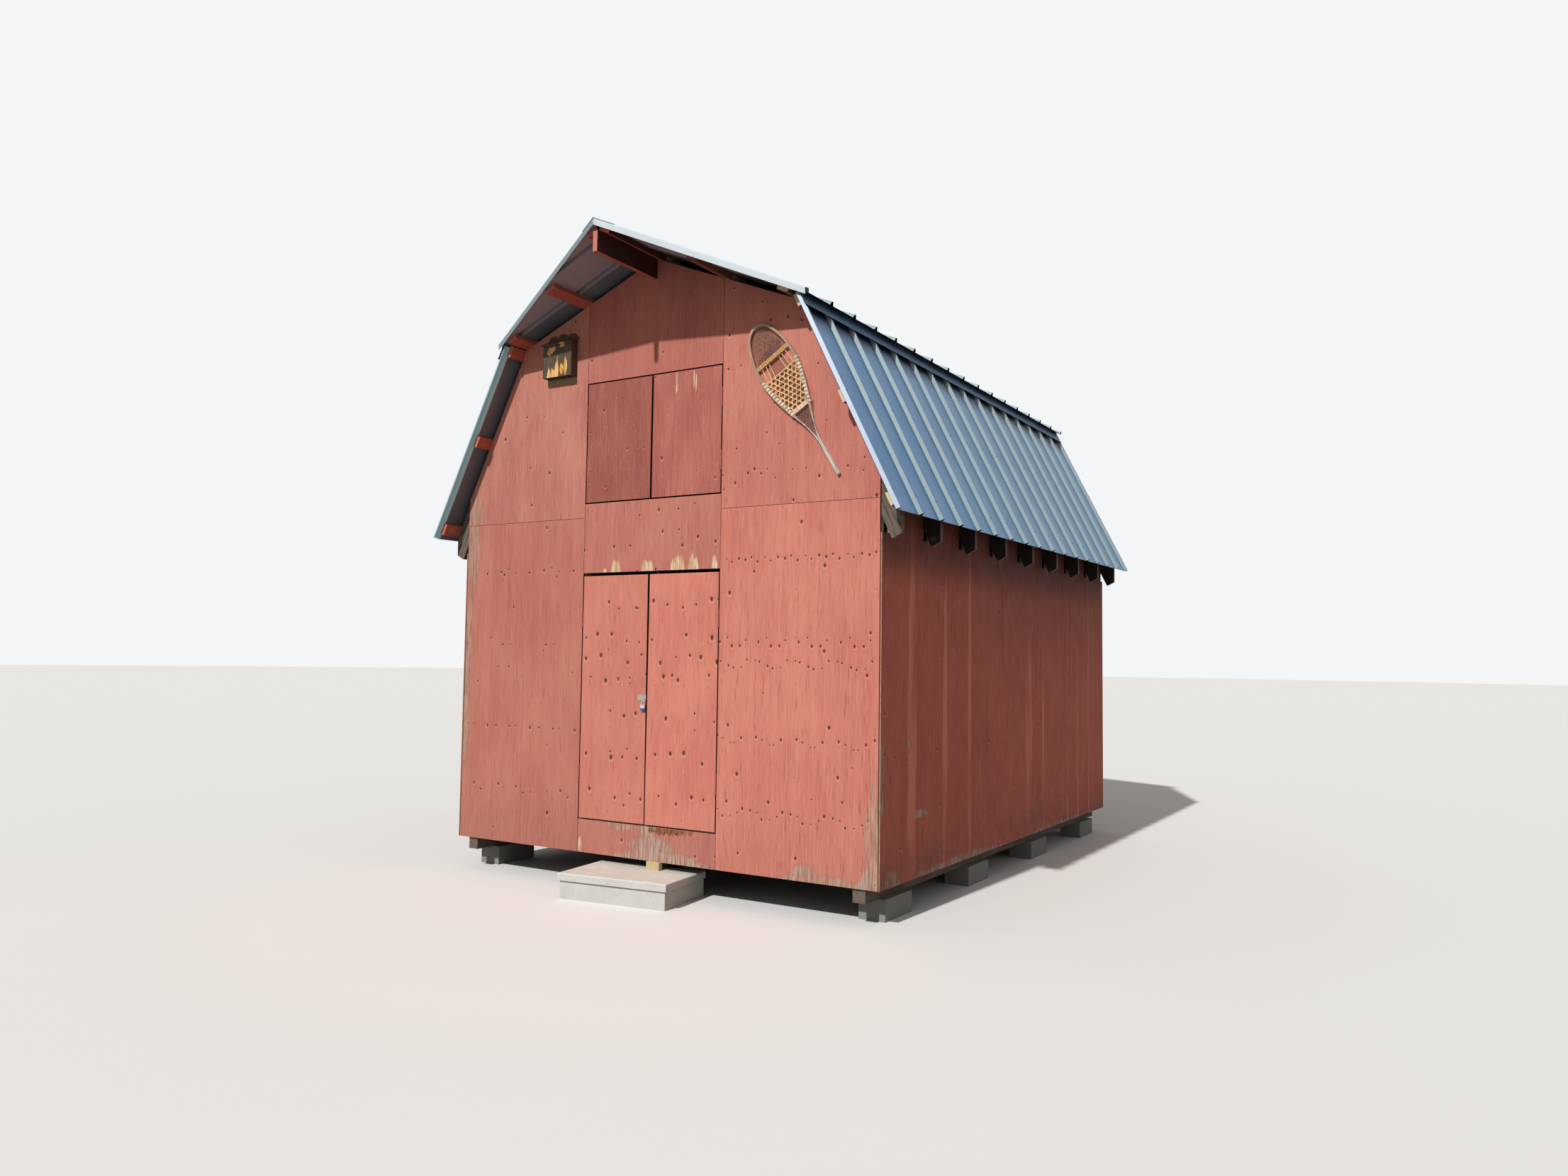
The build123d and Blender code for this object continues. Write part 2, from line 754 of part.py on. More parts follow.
with BuildPart() as knee_flashings:
    plate_pair(flashing_profile, roof_front_eave_y, roof_back_y - roof_front_eave_y)
save(knee_flashings, "knee_flashings")

# Rake trims along the prow: a cover leg on the crowns, a bend and a face over the sheet's edge
trim_top = crown_rise + steel
trim_low = trim_top - trim_face
bend_inset = (2**0.5 - 1) * steel
trim_outline = [
    (0, trim_low),
    (0, trim_top - trim_bend),
    (trim_bend, trim_top),
    (trim_cover, trim_top),
    (trim_cover, crown_rise),
    (trim_bend + bend_inset, crown_rise),
    (steel, trim_top - trim_bend - bend_inset),
    (steel, trim_low),
]
prow_length = (prow_run**2 + prow_back**2 + (prow_run * upper_tan) ** 2) ** 0.5
prow_plane = Plane(
    origin=(0, roof_front_ridge_y, skin_apex_z),
    x_dir=(-prow_back * upper_run, prow_run / upper_run, prow_back * upper_fall),
    z_dir=(prow_run, prow_back, -prow_run * upper_tan),
)
with BuildPart() as right_trim:
    with BuildSketch(prow_plane.offset(-mitre_allowance)) as section:
        with BuildLine():
            Polyline(*trim_outline, close=True)
        make_face()
    extrude(section.sketch, amount=prow_length + 2 * mitre_allowance)
    split(bisect_by=Plane.YZ, keep=Keep.TOP)
    split(bisect_by=Plane.YZ.offset(prow_run), keep=Keep.BOTTOM)
    split(bisect_by=facing_plane(roof_front_ridge_y), keep=Keep.BOTTOM)
with BuildPart() as rake_trims:
    add(right_trim.part)
    mirror(right_trim.part, about=Plane.YZ)
save(rake_trims, "rake_trims")

# Lower doors: flush sheets with a frame of battens on their backs
door_foot_z = door_sill_z + sill_gap / 2
door_top_z = door_head_z - head_gap / 2
door_edge_x = bay_half - side_gap / 2
batten_foot_z = door_foot_z + ledge_inset
batten_top_z = door_top_z - ledge_inset
batten_near_x = meeting_gap_top / 2 + ledge_inset
batten_far_x = door_edge_x - ledge_inset - hinge_leaf_width
with BuildPart() as lower_door_right:
    upright_plate(
        [
            (meeting_gap_foot / 2, door_foot_z),
            (door_edge_x, door_foot_z),
            (door_edge_x, door_top_z),
            (meeting_gap_top / 2, door_top_z),
        ],
        front_y,
        sheathing,
    )
    batten_ys = (frame_front_y, gable_back_y)
    block_between((batten_near_x, batten_far_x), batten_ys, (batten_foot_z, batten_top_z))
    middle_z = (batten_foot_z + batten_top_z) / 2
    window_xs = (batten_near_x + ledge_width, batten_far_x - ledge_width)
    for window_zs in (
        (batten_foot_z + ledge_width, middle_z - ledge_width / 2),
        (middle_z + ledge_width / 2, batten_top_z - ledge_width),
    ):
        block_between(window_xs, batten_ys, window_zs, mode=Mode.SUBTRACT)
save(lower_door_right, "lower_door_right")

with BuildPart() as lower_door_left:
    mirror(lower_door_right.part, about=Plane.YZ)
save(lower_door_left, "lower_door_left")

# Loft doors: flush sheets with two battens
loft_door_foot_z = loft_sill_z + loft_gap / 2
loft_door_top_z = loft_head_z - loft_gap / 2
with BuildPart() as loft_door_right:
    block_between(
        (loft_meeting_gap / 2, door_edge_x), (front_y, frame_front_y), (loft_door_foot_z, loft_door_top_z)
    )
    for batten_z in (loft_door_foot_z + ledge_inset, loft_door_top_z - ledge_inset - ledge_width):
        block_between(
            (batten_near_x, batten_far_x),
            (frame_front_y, frame_front_y + loft_batten),
            (batten_z, batten_z + ledge_width),
        )
save(loft_door_right, "loft_door_right")

with BuildPart() as loft_door_left:
    mirror(loft_door_right.part, about=Plane.YZ)
save(loft_door_left, "loft_door_left")

# Hinges: the jamb's leaf carries the outer knuckles and the pin, the door's leaf turns on it
hinge_axis_y = front_y - hinge_proud
knuckle = hinge_height / knuckle_count
jamb_leaf_x = (bay_edge - hinge_leaf, bay_edge)
door_leaf_x = (door_edge_x, door_edge_x + hinge_leaf)
leaf_ys = (front_y + knuckle_play, front_y + hinge_leaf_width)
web_ys = (hinge_axis_y, front_y + 2 * knuckle_play)


def knuckle_span(foot, number):
    """The height span of one knuckle, counted from the foot."""
    return (foot + number * knuckle + knuckle_play / 2, foot + (number + 1) * knuckle - knuckle_play / 2)


def barrel(radius, zs, mode=Mode.ADD):
    """A round on the hinge's axis, on the right jamb."""
    with Locations((bay_half, hinge_axis_y, sum(zs) / 2)):
        Cylinder(radius, zs[1] - zs[0], mode=mode)


with BuildPart() as jamb_hinge_leaves:
    for centre in lower_hinge_heights:
        foot = foot_z + centre - hinge_height / 2
        block_between(jamb_leaf_x, leaf_ys, (foot, foot + hinge_height))
        for number in range(0, knuckle_count, 2):
            barrel(hinge_radius, knuckle_span(foot, number))
            block_between(jamb_leaf_x, web_ys, knuckle_span(foot, number))
        barrel(hinge_pin_radius, (foot, foot + hinge_height))
    mirror(about=Plane.YZ)
save(jamb_hinge_leaves, "jamb_hinge_leaves")

with BuildPart() as door_leaves_right:
    for centre in lower_hinge_heights:
        foot = foot_z + centre - hinge_height / 2
        block_between(door_leaf_x, leaf_ys, (foot, foot + hinge_height))
        for number in range(1, knuckle_count, 2):
            barrel(hinge_radius, knuckle_span(foot, number))
            block_between(door_leaf_x, web_ys, knuckle_span(foot, number))
        barrel(hinge_pin_radius + hinge_pin_play, (foot, foot + hinge_height), mode=Mode.SUBTRACT)
save(door_leaves_right, "door_leaves_right")

with BuildPart() as door_leaves_left:
    mirror(door_leaves_right.part, about=Plane.YZ)
save(door_leaves_left, "door_leaves_left")

with BuildPart() as loft_hinges:
    for centre in loft_hinge_heights:
        foot = foot_z + centre - hinge_height / 2
        for leaf_x in (jamb_leaf_x, door_leaf_x):
            block_between(leaf_x, (hinge_axis_y, leaf_ys[1]), (foot, foot + hinge_height))
        barrel(hinge_radius, (foot, foot + hinge_height))
    mirror(about=Plane.YZ)
save(loft_hinges, "loft_hinges")

# Hasp: strap and standing eye on the left door
hasp_z = foot_z + hasp_height
hasp_end_x = -hasp_clearance / 2
eye_x = hasp_end_x - hasp_width / 2
eye_z = hasp_z - eye_drop
eye_hole_y = front_y - hasp_thickness - eye_reach / 2
with BuildPart() as hasp:
    with BuildSketch(facing_plane(front_y)) as strap:
        with Locations((hasp_end_x - hasp_length / 2, hasp_z)):
            RectangleRounded(hasp_length, hasp_width, metal_rounding)
    extrude(strap.sketch, amount=hasp_thickness)
    with BuildSketch(Plane.YZ.offset(eye_x - hasp_thickness / 2)) as eye:
        with Locations((eye_hole_y, eye_z)):
            Rectangle(eye_reach, eye_reach)
            Circle(eye_hole_radius, mode=Mode.SUBTRACT)
    extrude(eye.sketch, amount=hasp_thickness)
save(hasp, "hasp")

# Padlock, hanging from the eye by its shackle
bow_top_z = eye_z - (eye_hole_radius - shackle_radius) + bow_play
bow_centre_z = bow_top_z - bow_radius
body_top_z = bow_centre_z - bow_leg
root_z = body_top_z - bow_root
with BuildPart() as padlock:
    with BuildSketch(Plane.XY.offset(body_top_z - padlock_body)) as body_plan:
        with Locations((eye_x, eye_hole_y)):
            RectangleRounded(padlock_width, padlock_thickness, metal_rounding)
    extrude(body_plan.sketch, amount=padlock_body)
    chamfer(padlock.edges().group_by(Axis.Z)[-1], padlock_bevel)
    with BuildLine() as bow:
        leg = Line((eye_x - bow_radius, eye_hole_y, root_z), (eye_x - bow_radius, eye_hole_y, bow_centre_z))
        arc = ThreePointArc(
            leg @ 1, (eye_x, eye_hole_y, bow_top_z), (eye_x + bow_radius, eye_hole_y, bow_centre_z)
        )
        Line(arc @ 1, (eye_x + bow_radius, eye_hole_y, root_z))
    with BuildSketch(Plane(origin=leg @ 0, z_dir=(0, 0, 1))) as rod:
        RegularPolygon(shackle_radius, shackle_sides)
    sweep(rod.sketch, path=bow.wires()[0])
save(padlock, "padlock")

# Bat box: back board, sloped lid and a chamber open at its foot
bat_foot_z = foot_z + bat_box_foot
bat_front_top_z = bat_foot_z + bat_box_height
bat_slope = bat_lid_rise / (bat_box_depth + bat_lid_reach)
bat_left_x = bat_box_x - bat_box_width / 2


def lid_height(reach):
    """Height of the lid's underside at a reach out from the wall."""
    return bat_front_top_z + bat_slope * (bat_box_depth - reach)


def side_plate(outline, x, width):
    """A shape drawn as reach out from the wall and height, drawn out along X."""
    with BuildSketch(Plane.YZ.offset(x)) as face:
        with BuildLine():
            Polyline(*[(front_y - reach, z) for reach, z in outline], close=True)
        make_face()
    return face


# The back board from its foot up to a scalloped crest, given as parts of its half width
bat_back_foot_z = bat_foot_z - bat_back_drop
bat_crest_z = bat_front_top_z + bat_crest_rise
bat_notch_z = bat_crest_z - bat_crest_notch
crest_half = [
    (1.0, bat_back_foot_z),
    (1.0, bat_notch_z - bat_crest_notch),
    (0.86, bat_crest_z - bat_crest_notch / 2),
    (0.55, bat_crest_z - bat_crest_notch / 4),
    (0.42, bat_notch_z),
    (0.3, bat_notch_z),
    (0.16, bat_crest_z),
]
bat_half = bat_box_width / 2
crest_outline = [(bat_box_x + share * bat_half, z) for share, z in crest_half]
crest_outline += [(bat_box_x - share * bat_half, z) for share, z in crest_half[::-1]]

with BuildPart() as bat_box:
    shell = side_plate(
        [(0, bat_foot_z), (bat_box_depth, bat_foot_z), (bat_box_depth, bat_front_top_z), (0, lid_height(0))],
        bat_left_x,
        bat_box_width,
    )
    extrude(shell.sketch, amount=bat_box_width)
    inner_reach = bat_box_depth - bat_board
    chamber = side_plate(
        [
            (bat_board, bat_foot_z - cut_clearance),
            (inner_reach, bat_foot_z - cut_clearance),
            (inner_reach, lid_height(inner_reach) - bat_board),
            (bat_board, lid_height(bat_board) - bat_board),
        ],
        bat_left_x + bat_board,
        bat_box_width - 2 * bat_board,
    )
    extrude(chamber.sketch, amount=bat_box_width - 2 * bat_board, mode=Mode.SUBTRACT)
    lid_reach = bat_box_depth + bat_lid_reach
    lid = side_plate(
        [
            (0, lid_height(0)),
            (lid_reach, lid_height(lid_reach)),
            (lid_reach, lid_height(lid_reach) + bat_board),
            (0, lid_height(0) + bat_board),
        ],
        bat_left_x - bat_lid_reach,
        bat_box_width + 2 * bat_lid_reach,
    )
    extrude(lid.sketch, amount=bat_box_width + 2 * bat_lid_reach)
    with BuildSketch(facing_plane(front_y - bat_board)) as back_board:
        with BuildLine():
            Polyline(*crest_outline, close=True)
        make_face()
        with Locations((bat_box_x, bat_crest_z - 3 * bat_hole_radius)):
            Circle(bat_hole_radius, mode=Mode.SUBTRACT)
    extrude(back_board.sketch, amount=-bat_board)
save(bat_box, "bat_box")

# Snowshoe: a bent frame with two crossbars, flat against the gable
shoe_plane = Plane(
    origin=(shoe_tail_x, front_y, foot_z + shoe_tail_z),
    x_dir=(cos(radians(shoe_lean)), 0, sin(radians(shoe_lean))),
    z_dir=(0, -1, 0),
)
tail_half = shoe_stick / 2
inset = 0.6 * shoe_stick
frame_side = [
    (tail_half, shoe_tail_length),
    (heel_bar_half, heel_bar_reach),
    (shoe_half_width, shoe_wide_reach),
    (shoe_shoulder_half, shoe_shoulder_reach),
    (0, shoe_length),
]
opening_side = [
    (0, shoe_tail_length + 2 * shoe_stick),
    (heel_bar_half - shoe_stick, heel_bar_reach),
    (shoe_half_width - shoe_stick, shoe_wide_reach),
    (shoe_shoulder_half - inset, shoe_shoulder_reach - inset),
    (0, shoe_length - shoe_stick),
]
opening_start = (heel_bar_half - shoe_stick, heel_bar_reach - shoe_tail_length - 2 * shoe_stick)
with BuildPart() as snowshoe:
    with BuildSketch(shoe_plane) as shoe_face:
        with BuildLine():
            Polyline((0, 0), (tail_half, 0), frame_side[0])
            Spline(*frame_side, tangents=((0, 1), (-1, 0)))
            mirror(about=Plane.YZ)
        make_face()
    extrude(shoe_face.sketch, amount=shoe_thickness)
    with BuildSketch(shoe_plane) as openings:
        with BuildLine():
            Spline(*opening_side, tangents=(opening_start, (-1, 0)))
            mirror(about=Plane.YZ)
        make_face()
        with Locations((0, toe_bar_reach), (0, heel_bar_reach)):
            Rectangle(2 * shoe_half_width, shoe_bar, mode=Mode.SUBTRACT)
    extrude(openings.sketch, amount=shoe_thickness, mode=Mode.SUBTRACT)
save(snowshoe, "snowshoe")

print("frames", len(rafter_ys), "ribs", rib_count + 1, "pitch", round(true_pitch, 1))
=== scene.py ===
"""The looks of a barn-style shed with a gambrel roof: finishes, fasteners, lacing and the stage.

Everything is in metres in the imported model's frame: +Z up, the front wall looks towards -Y.
"""
from math import cos, pi, radians, sin

import bmesh
import bpy
import numpy as np
from bpy.props import FloatProperty, FloatVectorProperty, IntProperty, PointerProperty
from mathutils import Matrix, Vector


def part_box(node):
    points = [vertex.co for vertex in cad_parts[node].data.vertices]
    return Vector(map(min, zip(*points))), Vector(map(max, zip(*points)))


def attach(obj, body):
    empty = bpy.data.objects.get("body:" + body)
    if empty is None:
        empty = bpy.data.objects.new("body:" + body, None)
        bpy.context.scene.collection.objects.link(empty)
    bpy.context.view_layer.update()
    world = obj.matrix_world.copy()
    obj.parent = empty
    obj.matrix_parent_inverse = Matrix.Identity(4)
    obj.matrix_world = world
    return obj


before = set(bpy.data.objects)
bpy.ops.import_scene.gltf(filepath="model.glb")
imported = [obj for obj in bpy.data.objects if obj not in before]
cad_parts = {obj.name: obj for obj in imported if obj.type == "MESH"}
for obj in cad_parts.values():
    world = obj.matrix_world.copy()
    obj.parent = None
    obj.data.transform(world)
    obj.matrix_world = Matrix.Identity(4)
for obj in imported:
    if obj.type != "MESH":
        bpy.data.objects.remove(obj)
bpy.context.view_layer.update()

bl_info = {
    "name": "Barn shed finishes",
    "version": (1, 0, 0),
    "blender": (4, 5, 0),
    "location": "View3D > Sidebar > Barn Shed",
    "description": "Worn paint, sawn timber, ribbed steel, fasteners and lacing for a gambrel barn shed",
    "category": "Object",
}

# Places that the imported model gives
FRONT_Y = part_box("front_wall_left")[0].y
BACK_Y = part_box("back_wall")[1].y
WALL_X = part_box("front_wall_right")[1].x
SIDE_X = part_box("right_wall")[1].x
FOOT_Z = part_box("front_wall_left")[0].z
SHEET_TOP_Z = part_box("front_wall_left")[1].z
SILL_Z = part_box("lower_door_left")[0].z
HEAD_Z = 2.26

# The roof's planes
UPPER_PITCH = radians(22)
LOWER_PITCH = radians(63.3)
SKIN_APEX_Z = 4.565
SKIN_KNEE = (1.2800, 4.0479)
RIB_CROWN = 0.026
RIB_INSET = 0.024
RIB_FIRST_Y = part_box("lower_roof_right")[0].y + RIB_INSET
RIB_LAST_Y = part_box("lower_roof_right")[1].y - RIB_INSET
RIB_PITCHES = 16
PROW_SLOPE = 0.496 / 1.370
RIDGE_FRONT_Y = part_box("ridge_cap")[0].y

# Studs and hinges
STUD_STEP = 0.6096
SEAM_STUD_X = 0.634
HINGE_X = 0.6096
HINGE_LEVELS = (0.570, 1.690, 2.775, 3.215)
PIN_HALF = 0.0635

# The snowshoe's own plane: across its width and along it from the tail
SHOE_LEAN = radians(32.2)
SHOE_ORIGIN = np.array((1.539, FRONT_Y, FOOT_Z + 2.607))
SHOE_ACROSS = np.array((cos(SHOE_LEAN), 0, sin(SHOE_LEAN)))
SHOE_ALONG = np.array((-sin(SHOE_LEAN), 0, cos(SHOE_LEAN)))
SHOE_THICKNESS = 0.022
SHOE_BAR = 0.030
TOE_BAR = 0.970
HEEL_BAR = 0.547
TOE_ROPE = 0.845
SHOE_OUTSIDE = np.array(((0.0105, 0.248), (0.086, 0.547), (0.158, 0.860), (0.118, 1.130), (0, 1.245)))
SHOE_INSIDE = np.array(((0, 0.290), (0.065, 0.547), (0.137, 0.860), (0.1054, 1.1174), (0, 1.224)))


# Shader nodes

class Wire:
    """A shader node's output. Reckoning with it adds nodes to its tree."""

    def __init__(self, socket):
        self.socket = socket
        self.tree = socket.id_data

    def math(self, operation, *values):
        """One Math node, with this wire as its first value."""
        return node(self.tree, "Math", (self, *values), operation=operation)[0]

    def __add__(self, other):
        return self.math("ADD", other)

    def __sub__(self, other):
        return self.math("SUBTRACT", other)

    def __rsub__(self, other):
        return node(self.tree, "Math", (other, self), operation="SUBTRACT")[0]

    def __mul__(self, other):
        return self.math("MULTIPLY", other)

    def __truediv__(self, other):
        return self.math("DIVIDE", other)

    def __abs__(self):
        return self.math("ABSOLUTE")

    def scaled(self, factor, offset):
        """This times a factor, plus an offset."""
        return self.math("MULTIPLY_ADD", factor, offset)

    def ramp(self, low, high, to_low=0.0, to_high=1.0):
        """A smooth step from low to high; low may be the larger one."""
        values = (self, low, high, to_low, to_high)
        return node(self.tree, "MapRange", values, interpolation_type="SMOOTHSTEP")[0]


def put(socket, value):
    """Joins a wire to a socket, or sets the socket's own value."""
    if isinstance(value, Wire):
        value.tree.links.new(value.socket, socket)
    else:
        socket.default_value = value


def node(tree, kind, inputs=(), **settings):
    """Adds a shader node with its settings, then its inputs in order or by name; gives its outputs."""
    made = tree.nodes.new("ShaderNode" + kind)
    for key, value in settings.items():
        setattr(made, key, value)
    for key, value in inputs.items() if isinstance(inputs, dict) else enumerate(inputs):
        put(made.inputs[key], value)
    return [Wire(socket) for socket in made.outputs]


def blend(factor, below, above, mode="MIX"):
    """A colour between two, or one laid over the other; at least one of the three is a wire."""
    tree = next(value.tree for value in (factor, below, above) if isinstance(value, Wire))
    return node(tree, "Mix", {0: factor, 6: below, 7: above}, data_type="RGBA", blend_type=mode)[2]


def layered(tone, *layers):
    """Lays colours over a tone in order, each given as (cover, colour)."""
    for cover, colour in layers:
        tone = blend(cover, tone, colour)
    return tone


def dim(tone, shade):
    """A colour times a grey."""
    grey = node(shade.tree, "CombineColor", (shade, shade, shade))[0]
    return blend(1.0, tone, grey, "MULTIPLY")


def split(vector):
    """The three numbers of a vector."""
    return node(vector.tree, "SeparateXYZ", (vector,))


def join(x, y, z):
    """A vector from three numbers, the first of them a wire."""
    return node(x.tree, "CombineXYZ", (x, y, z))[0]


def noise(vector, stretch, detail=2.0, roughness=0.5):
    """Soft noise, with so many cells to the metre, the same along each axis or not."""
    cells = np.broadcast_to(np.array(stretch, float), 3).tolist()
    scaled = node(vector.tree, "VectorMath", (vector, cells), operation="MULTIPLY")[0]
    inputs = {"Vector": scaled, "Scale": 1.0, "Detail": detail, "Roughness": roughness}
    return node(vector.tree, "TexNoise", inputs)[0]


def rgba(colour, *factors):
    """A property's colour as a shader's, times one factor or three."""
    return (*np.minimum(np.array(colour[:3]) * (factors or 1.0), 1.0), 1.0)


class Finish:
    """A material with its surface shader; place is the Object coordinates."""

    def __init__(self, name, **constants):
        """The constants are set on the shader's own sockets."""
        self.material = bpy.data.materials.new(name)
        self.material.use_nodes = True
        self.tree = self.material.node_tree
        self.tree.nodes.clear()
        self.surface = self.tree.nodes.new("ShaderNodeBsdfPrincipled")
        self.feed(**constants)
        output = self.tree.nodes.new("ShaderNodeOutputMaterial")
        self.tree.links.new(self.surface.outputs[0], output.inputs[0])
        self.place = Wire(self.tree.nodes.new("ShaderNodeTexCoord").outputs["Object"])

    def feed(self, **values):
        """Gives the shader's sockets their wires or values: base_color feeds Base Color, and so on."""
        for key, value in values.items():
            put(self.surface.inputs[key.replace("_", " ").title().replace("Ior", "IOR")], value)

    def group(self, name, **inputs):
        """Places a shader group with this material's values: Half_Width feeds Half Width, and so on."""
        made = self.tree.nodes.new("ShaderNodeGroup")
        made.node_tree = bpy.data.node_groups[name]
        for key, value in inputs.items():
            put(made.inputs[key.replace("_", " ")], value)
        return [Wire(socket) for socket in made.outputs]

    def relief(self, height, distance, strength=1.0):
        """Gives the surface the relief of a height map, at its real depth in metres."""
        bump = node(self.tree, "Bump", {"Height": height, "Distance": distance, "Strength": strength})[0]
        self.feed(normal=bump)

    def facing(self, axis):
        """How squarely a face looks along an axis, from the face's own normal."""
        return split(Wire(self.tree.nodes.new("ShaderNodeNewGeometry").outputs["True Normal"]))[axis]

    def paint(self, *names):
        """Puts the material on the CAD nodes' slots."""
        for name in names:
            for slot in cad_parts[name].material_slots:
                slot.material = self.material


# Shader groups

def shader_group(name, inputs, outputs, build):
    """A shader node group; an input's default is a number, or None for a vector. build gives its results."""
    tree = bpy.data.node_groups.new(name, "ShaderNodeTree")
    for label, default in inputs.items():
        kind = "NodeSocketVector" if default is None else "NodeSocketFloat"
        made = tree.interface.new_socket(name=label, in_out="INPUT", socket_type=kind)
        if default is not None:
            made.default_value = default
    for label in outputs:
        tree.interface.new_socket(name=label, in_out="OUTPUT", socket_type="NodeSocketFloat")
    entry = tree.nodes.new("NodeGroupInput")
    result = tree.nodes.new("NodeGroupOutput")
    for label, value in zip(outputs, build(*map(Wire, entry.outputs[: len(inputs)]))):
        put(result.inputs[label], value)


def build_grain(vector):
    """Wood whose fibres run along the vector's Z: hairlines, and the wide figure of the growth rings."""
    shift = noise(vector, (1.7, 1.7, 0.5)) * 0.09
    bent = node(vector.tree, "VectorMath", (vector, join(shift, 0.0, 0.0)), operation="ADD")[0]
    fine = noise(bent, (125, 125, 6.5), 3.0, 0.62)
    rings = (noise(bent, (6.5, 6.5, 0.42), 1.5) * 9.0).math("PINGPONG", 0.5)
    return fine, fine.ramp(0.42, 0.3), rings * 2.0


def build_weather(vector):
    """Weather on a painted face: large patches, long streaks and small chips."""
    patch = noise(vector, (2.9, 2.9, 1.5), 3.0, 0.55).ramp(0.3, 0.7)
    streak = noise(vector, (16, 16, 0.55)).ramp(0.25, 0.75)
    return patch, streak, noise(vector, (150, 150, 38), 1.0).ramp(0.71, 0.77)


def knot_masks(reach_u, reach_v, radius, there):
    """A knot's dark core, a painted highlight as a pale crescent under it, and its halo; there is 1 where the
    knot exists.
    """
    flat = join(reach_u, reach_v * 0.75, 0.0)
    away = node(flat.tree, "VectorMath", (flat,), operation="LENGTH")[1] / radius
    core = away.ramp(1.05, 0.6)
    rim = abs(away - 1.5).ramp(0.6, 0.0) * (reach_v / radius).ramp(0.2, -1.0)
    return core * there, rim * there, away.ramp(4.0, 1.0) * there


def chances(x, y, z):
    """Four numbers between 0 and 1, drawn anew for each triple."""
    value, colour = node(x.tree, "TexWhiteNoise", (join(x, y, z),))
    return value, *node(x.tree, "SeparateColor", (colour,))


def build_knots(across, up, spacing, row_height, size, chance, seed):
    """Stray knots: one somewhere in each cell of spacing by row_height, where the chance grants it."""
    row = up / row_height
    row_cell = row.math("FLOOR")
    column = chances(row_cell, seed, 7.3)[0].scaled(13.0, across / spacing)
    luck, first, second, third = chances(column.math("FLOOR"), row_cell, seed)
    reach_u = (column.math("FRACT") - first.scaled(0.6, 0.2)) * spacing
    reach_v = (row.math("FRACT") - second.scaled(0.6, 0.2)) * row_height
    return knot_masks(reach_u, reach_v, size * third.scaled(0.8, 0.5), luck.math("LESS_THAN", chance))


KNOTS_ROUND = 6.0


def build_knot_line(across, above, spacing, size, chance, seed):
    """One row of knots, as a whorl of branches leaves in peeled veneer; above is the height over the row.

    The row repeats after KNOTS_ROUND knots, once for each turn of the trunk.
    """
    column = across / spacing + seed
    branch = column.math("FLOOR").math("FLOORED_MODULO", KNOTS_ROUND)
    luck, first, second, third = chances(branch, seed, 5.1)
    reach_u = (column.math("FRACT") - first.scaled(0.5, 0.25)) * spacing
    reach_v = above + second.scaled(0.07, -0.035)
    return knot_masks(reach_u, reach_v, size * third.scaled(0.7, 0.6), luck.math("LESS_THAN", chance))


def build_patch(across, up, ragged, centre, half_width, level, reach, flank):
    """A ragged patch, widest at its level and tapering upwards and downwards over its reach.

    The higher the flank's power, the steeper its sides.
    """
    side = abs((across - centre) / half_width)
    far = side.math("POWER", flank) + abs((up - level) / reach) + ragged.scaled(2.4, -1.2)
    return (far.ramp(0.95, 0.72),)


def build_spangle(vector):
    """The crystals of a zinc coat, and its dull stains."""
    cells = node(vector.tree, "TexVoronoi", {"Vector": vector, "Scale": 55.0})[1]
    crystal = node(vector.tree, "SeparateColor", (cells,))[0]
    return crystal, noise(vector, 2.2, 4.0, 0.6).ramp(0.35, 0.7)


def build_pits(vector):
    """A cast surface: sand, small pits and soft patches."""
    pits = noise(vector, 95, 1.0).ramp(0.70, 0.76)
    return noise(vector, 420), pits, noise(vector, 4.5, 4.0, 0.6).ramp(0.3, 0.7)


def build_groups():
    """The effects that more than one finish uses."""
    vector = {"Vector": None}
    shader_group("wood_grain", vector, ("Fine", "Line", "Figure"), build_grain)
    shader_group("paint_weather", vector, ("Patch", "Streak", "Chip"), build_weather)
    shader_group("zinc_spangle", vector, ("Crystal", "Stain"), build_spangle)
    shader_group("cast_pits", vector, ("Sand", "Pits", "Patch"), build_pits)
    shader_group("knot_rows", {"Across": 0.0, "Up": 0.0, "Spacing": 0.1, "Row Height": 0.3, "Size": 0.011,
                               "Chance": 0.6, "Seed": 0.0}, ("Core", "Rim", "Halo"), build_knots)
    shader_group("knot_line", {"Across": 0.0, "Above": 0.0, "Spacing": 0.1, "Size": 0.011, "Chance": 0.8,
                               "Seed": 0.0}, ("Core", "Rim", "Halo"), build_knot_line)
    shader_group("worn_patch", {"Across": 0.0, "Up": 0.0, "Ragged": 0.5, "Centre": 0.0, "Half Width": 1.0,
                                "Level": 0.0, "Reach": 1.0, "Flank": 2.0}, ("Mask",), build_patch)


# Settings

def colour(name, description, *default):
    """A colour that a user may change."""
    return FloatVectorProperty(name=name, description=description, subtype="COLOR", size=3, min=0, max=1,
                               default=default)


def distance(name, description, default, low, high):
    """A distance in metres that a user may change, between low and high."""
    return FloatProperty(name=name, description=description, subtype="DISTANCE", min=low, max=high,
                         default=default)


def angle(name, description, degrees):
    """An angle that a user may change."""
    return FloatProperty(name=name, description=description, subtype="ANGLE", default=radians(degrees))


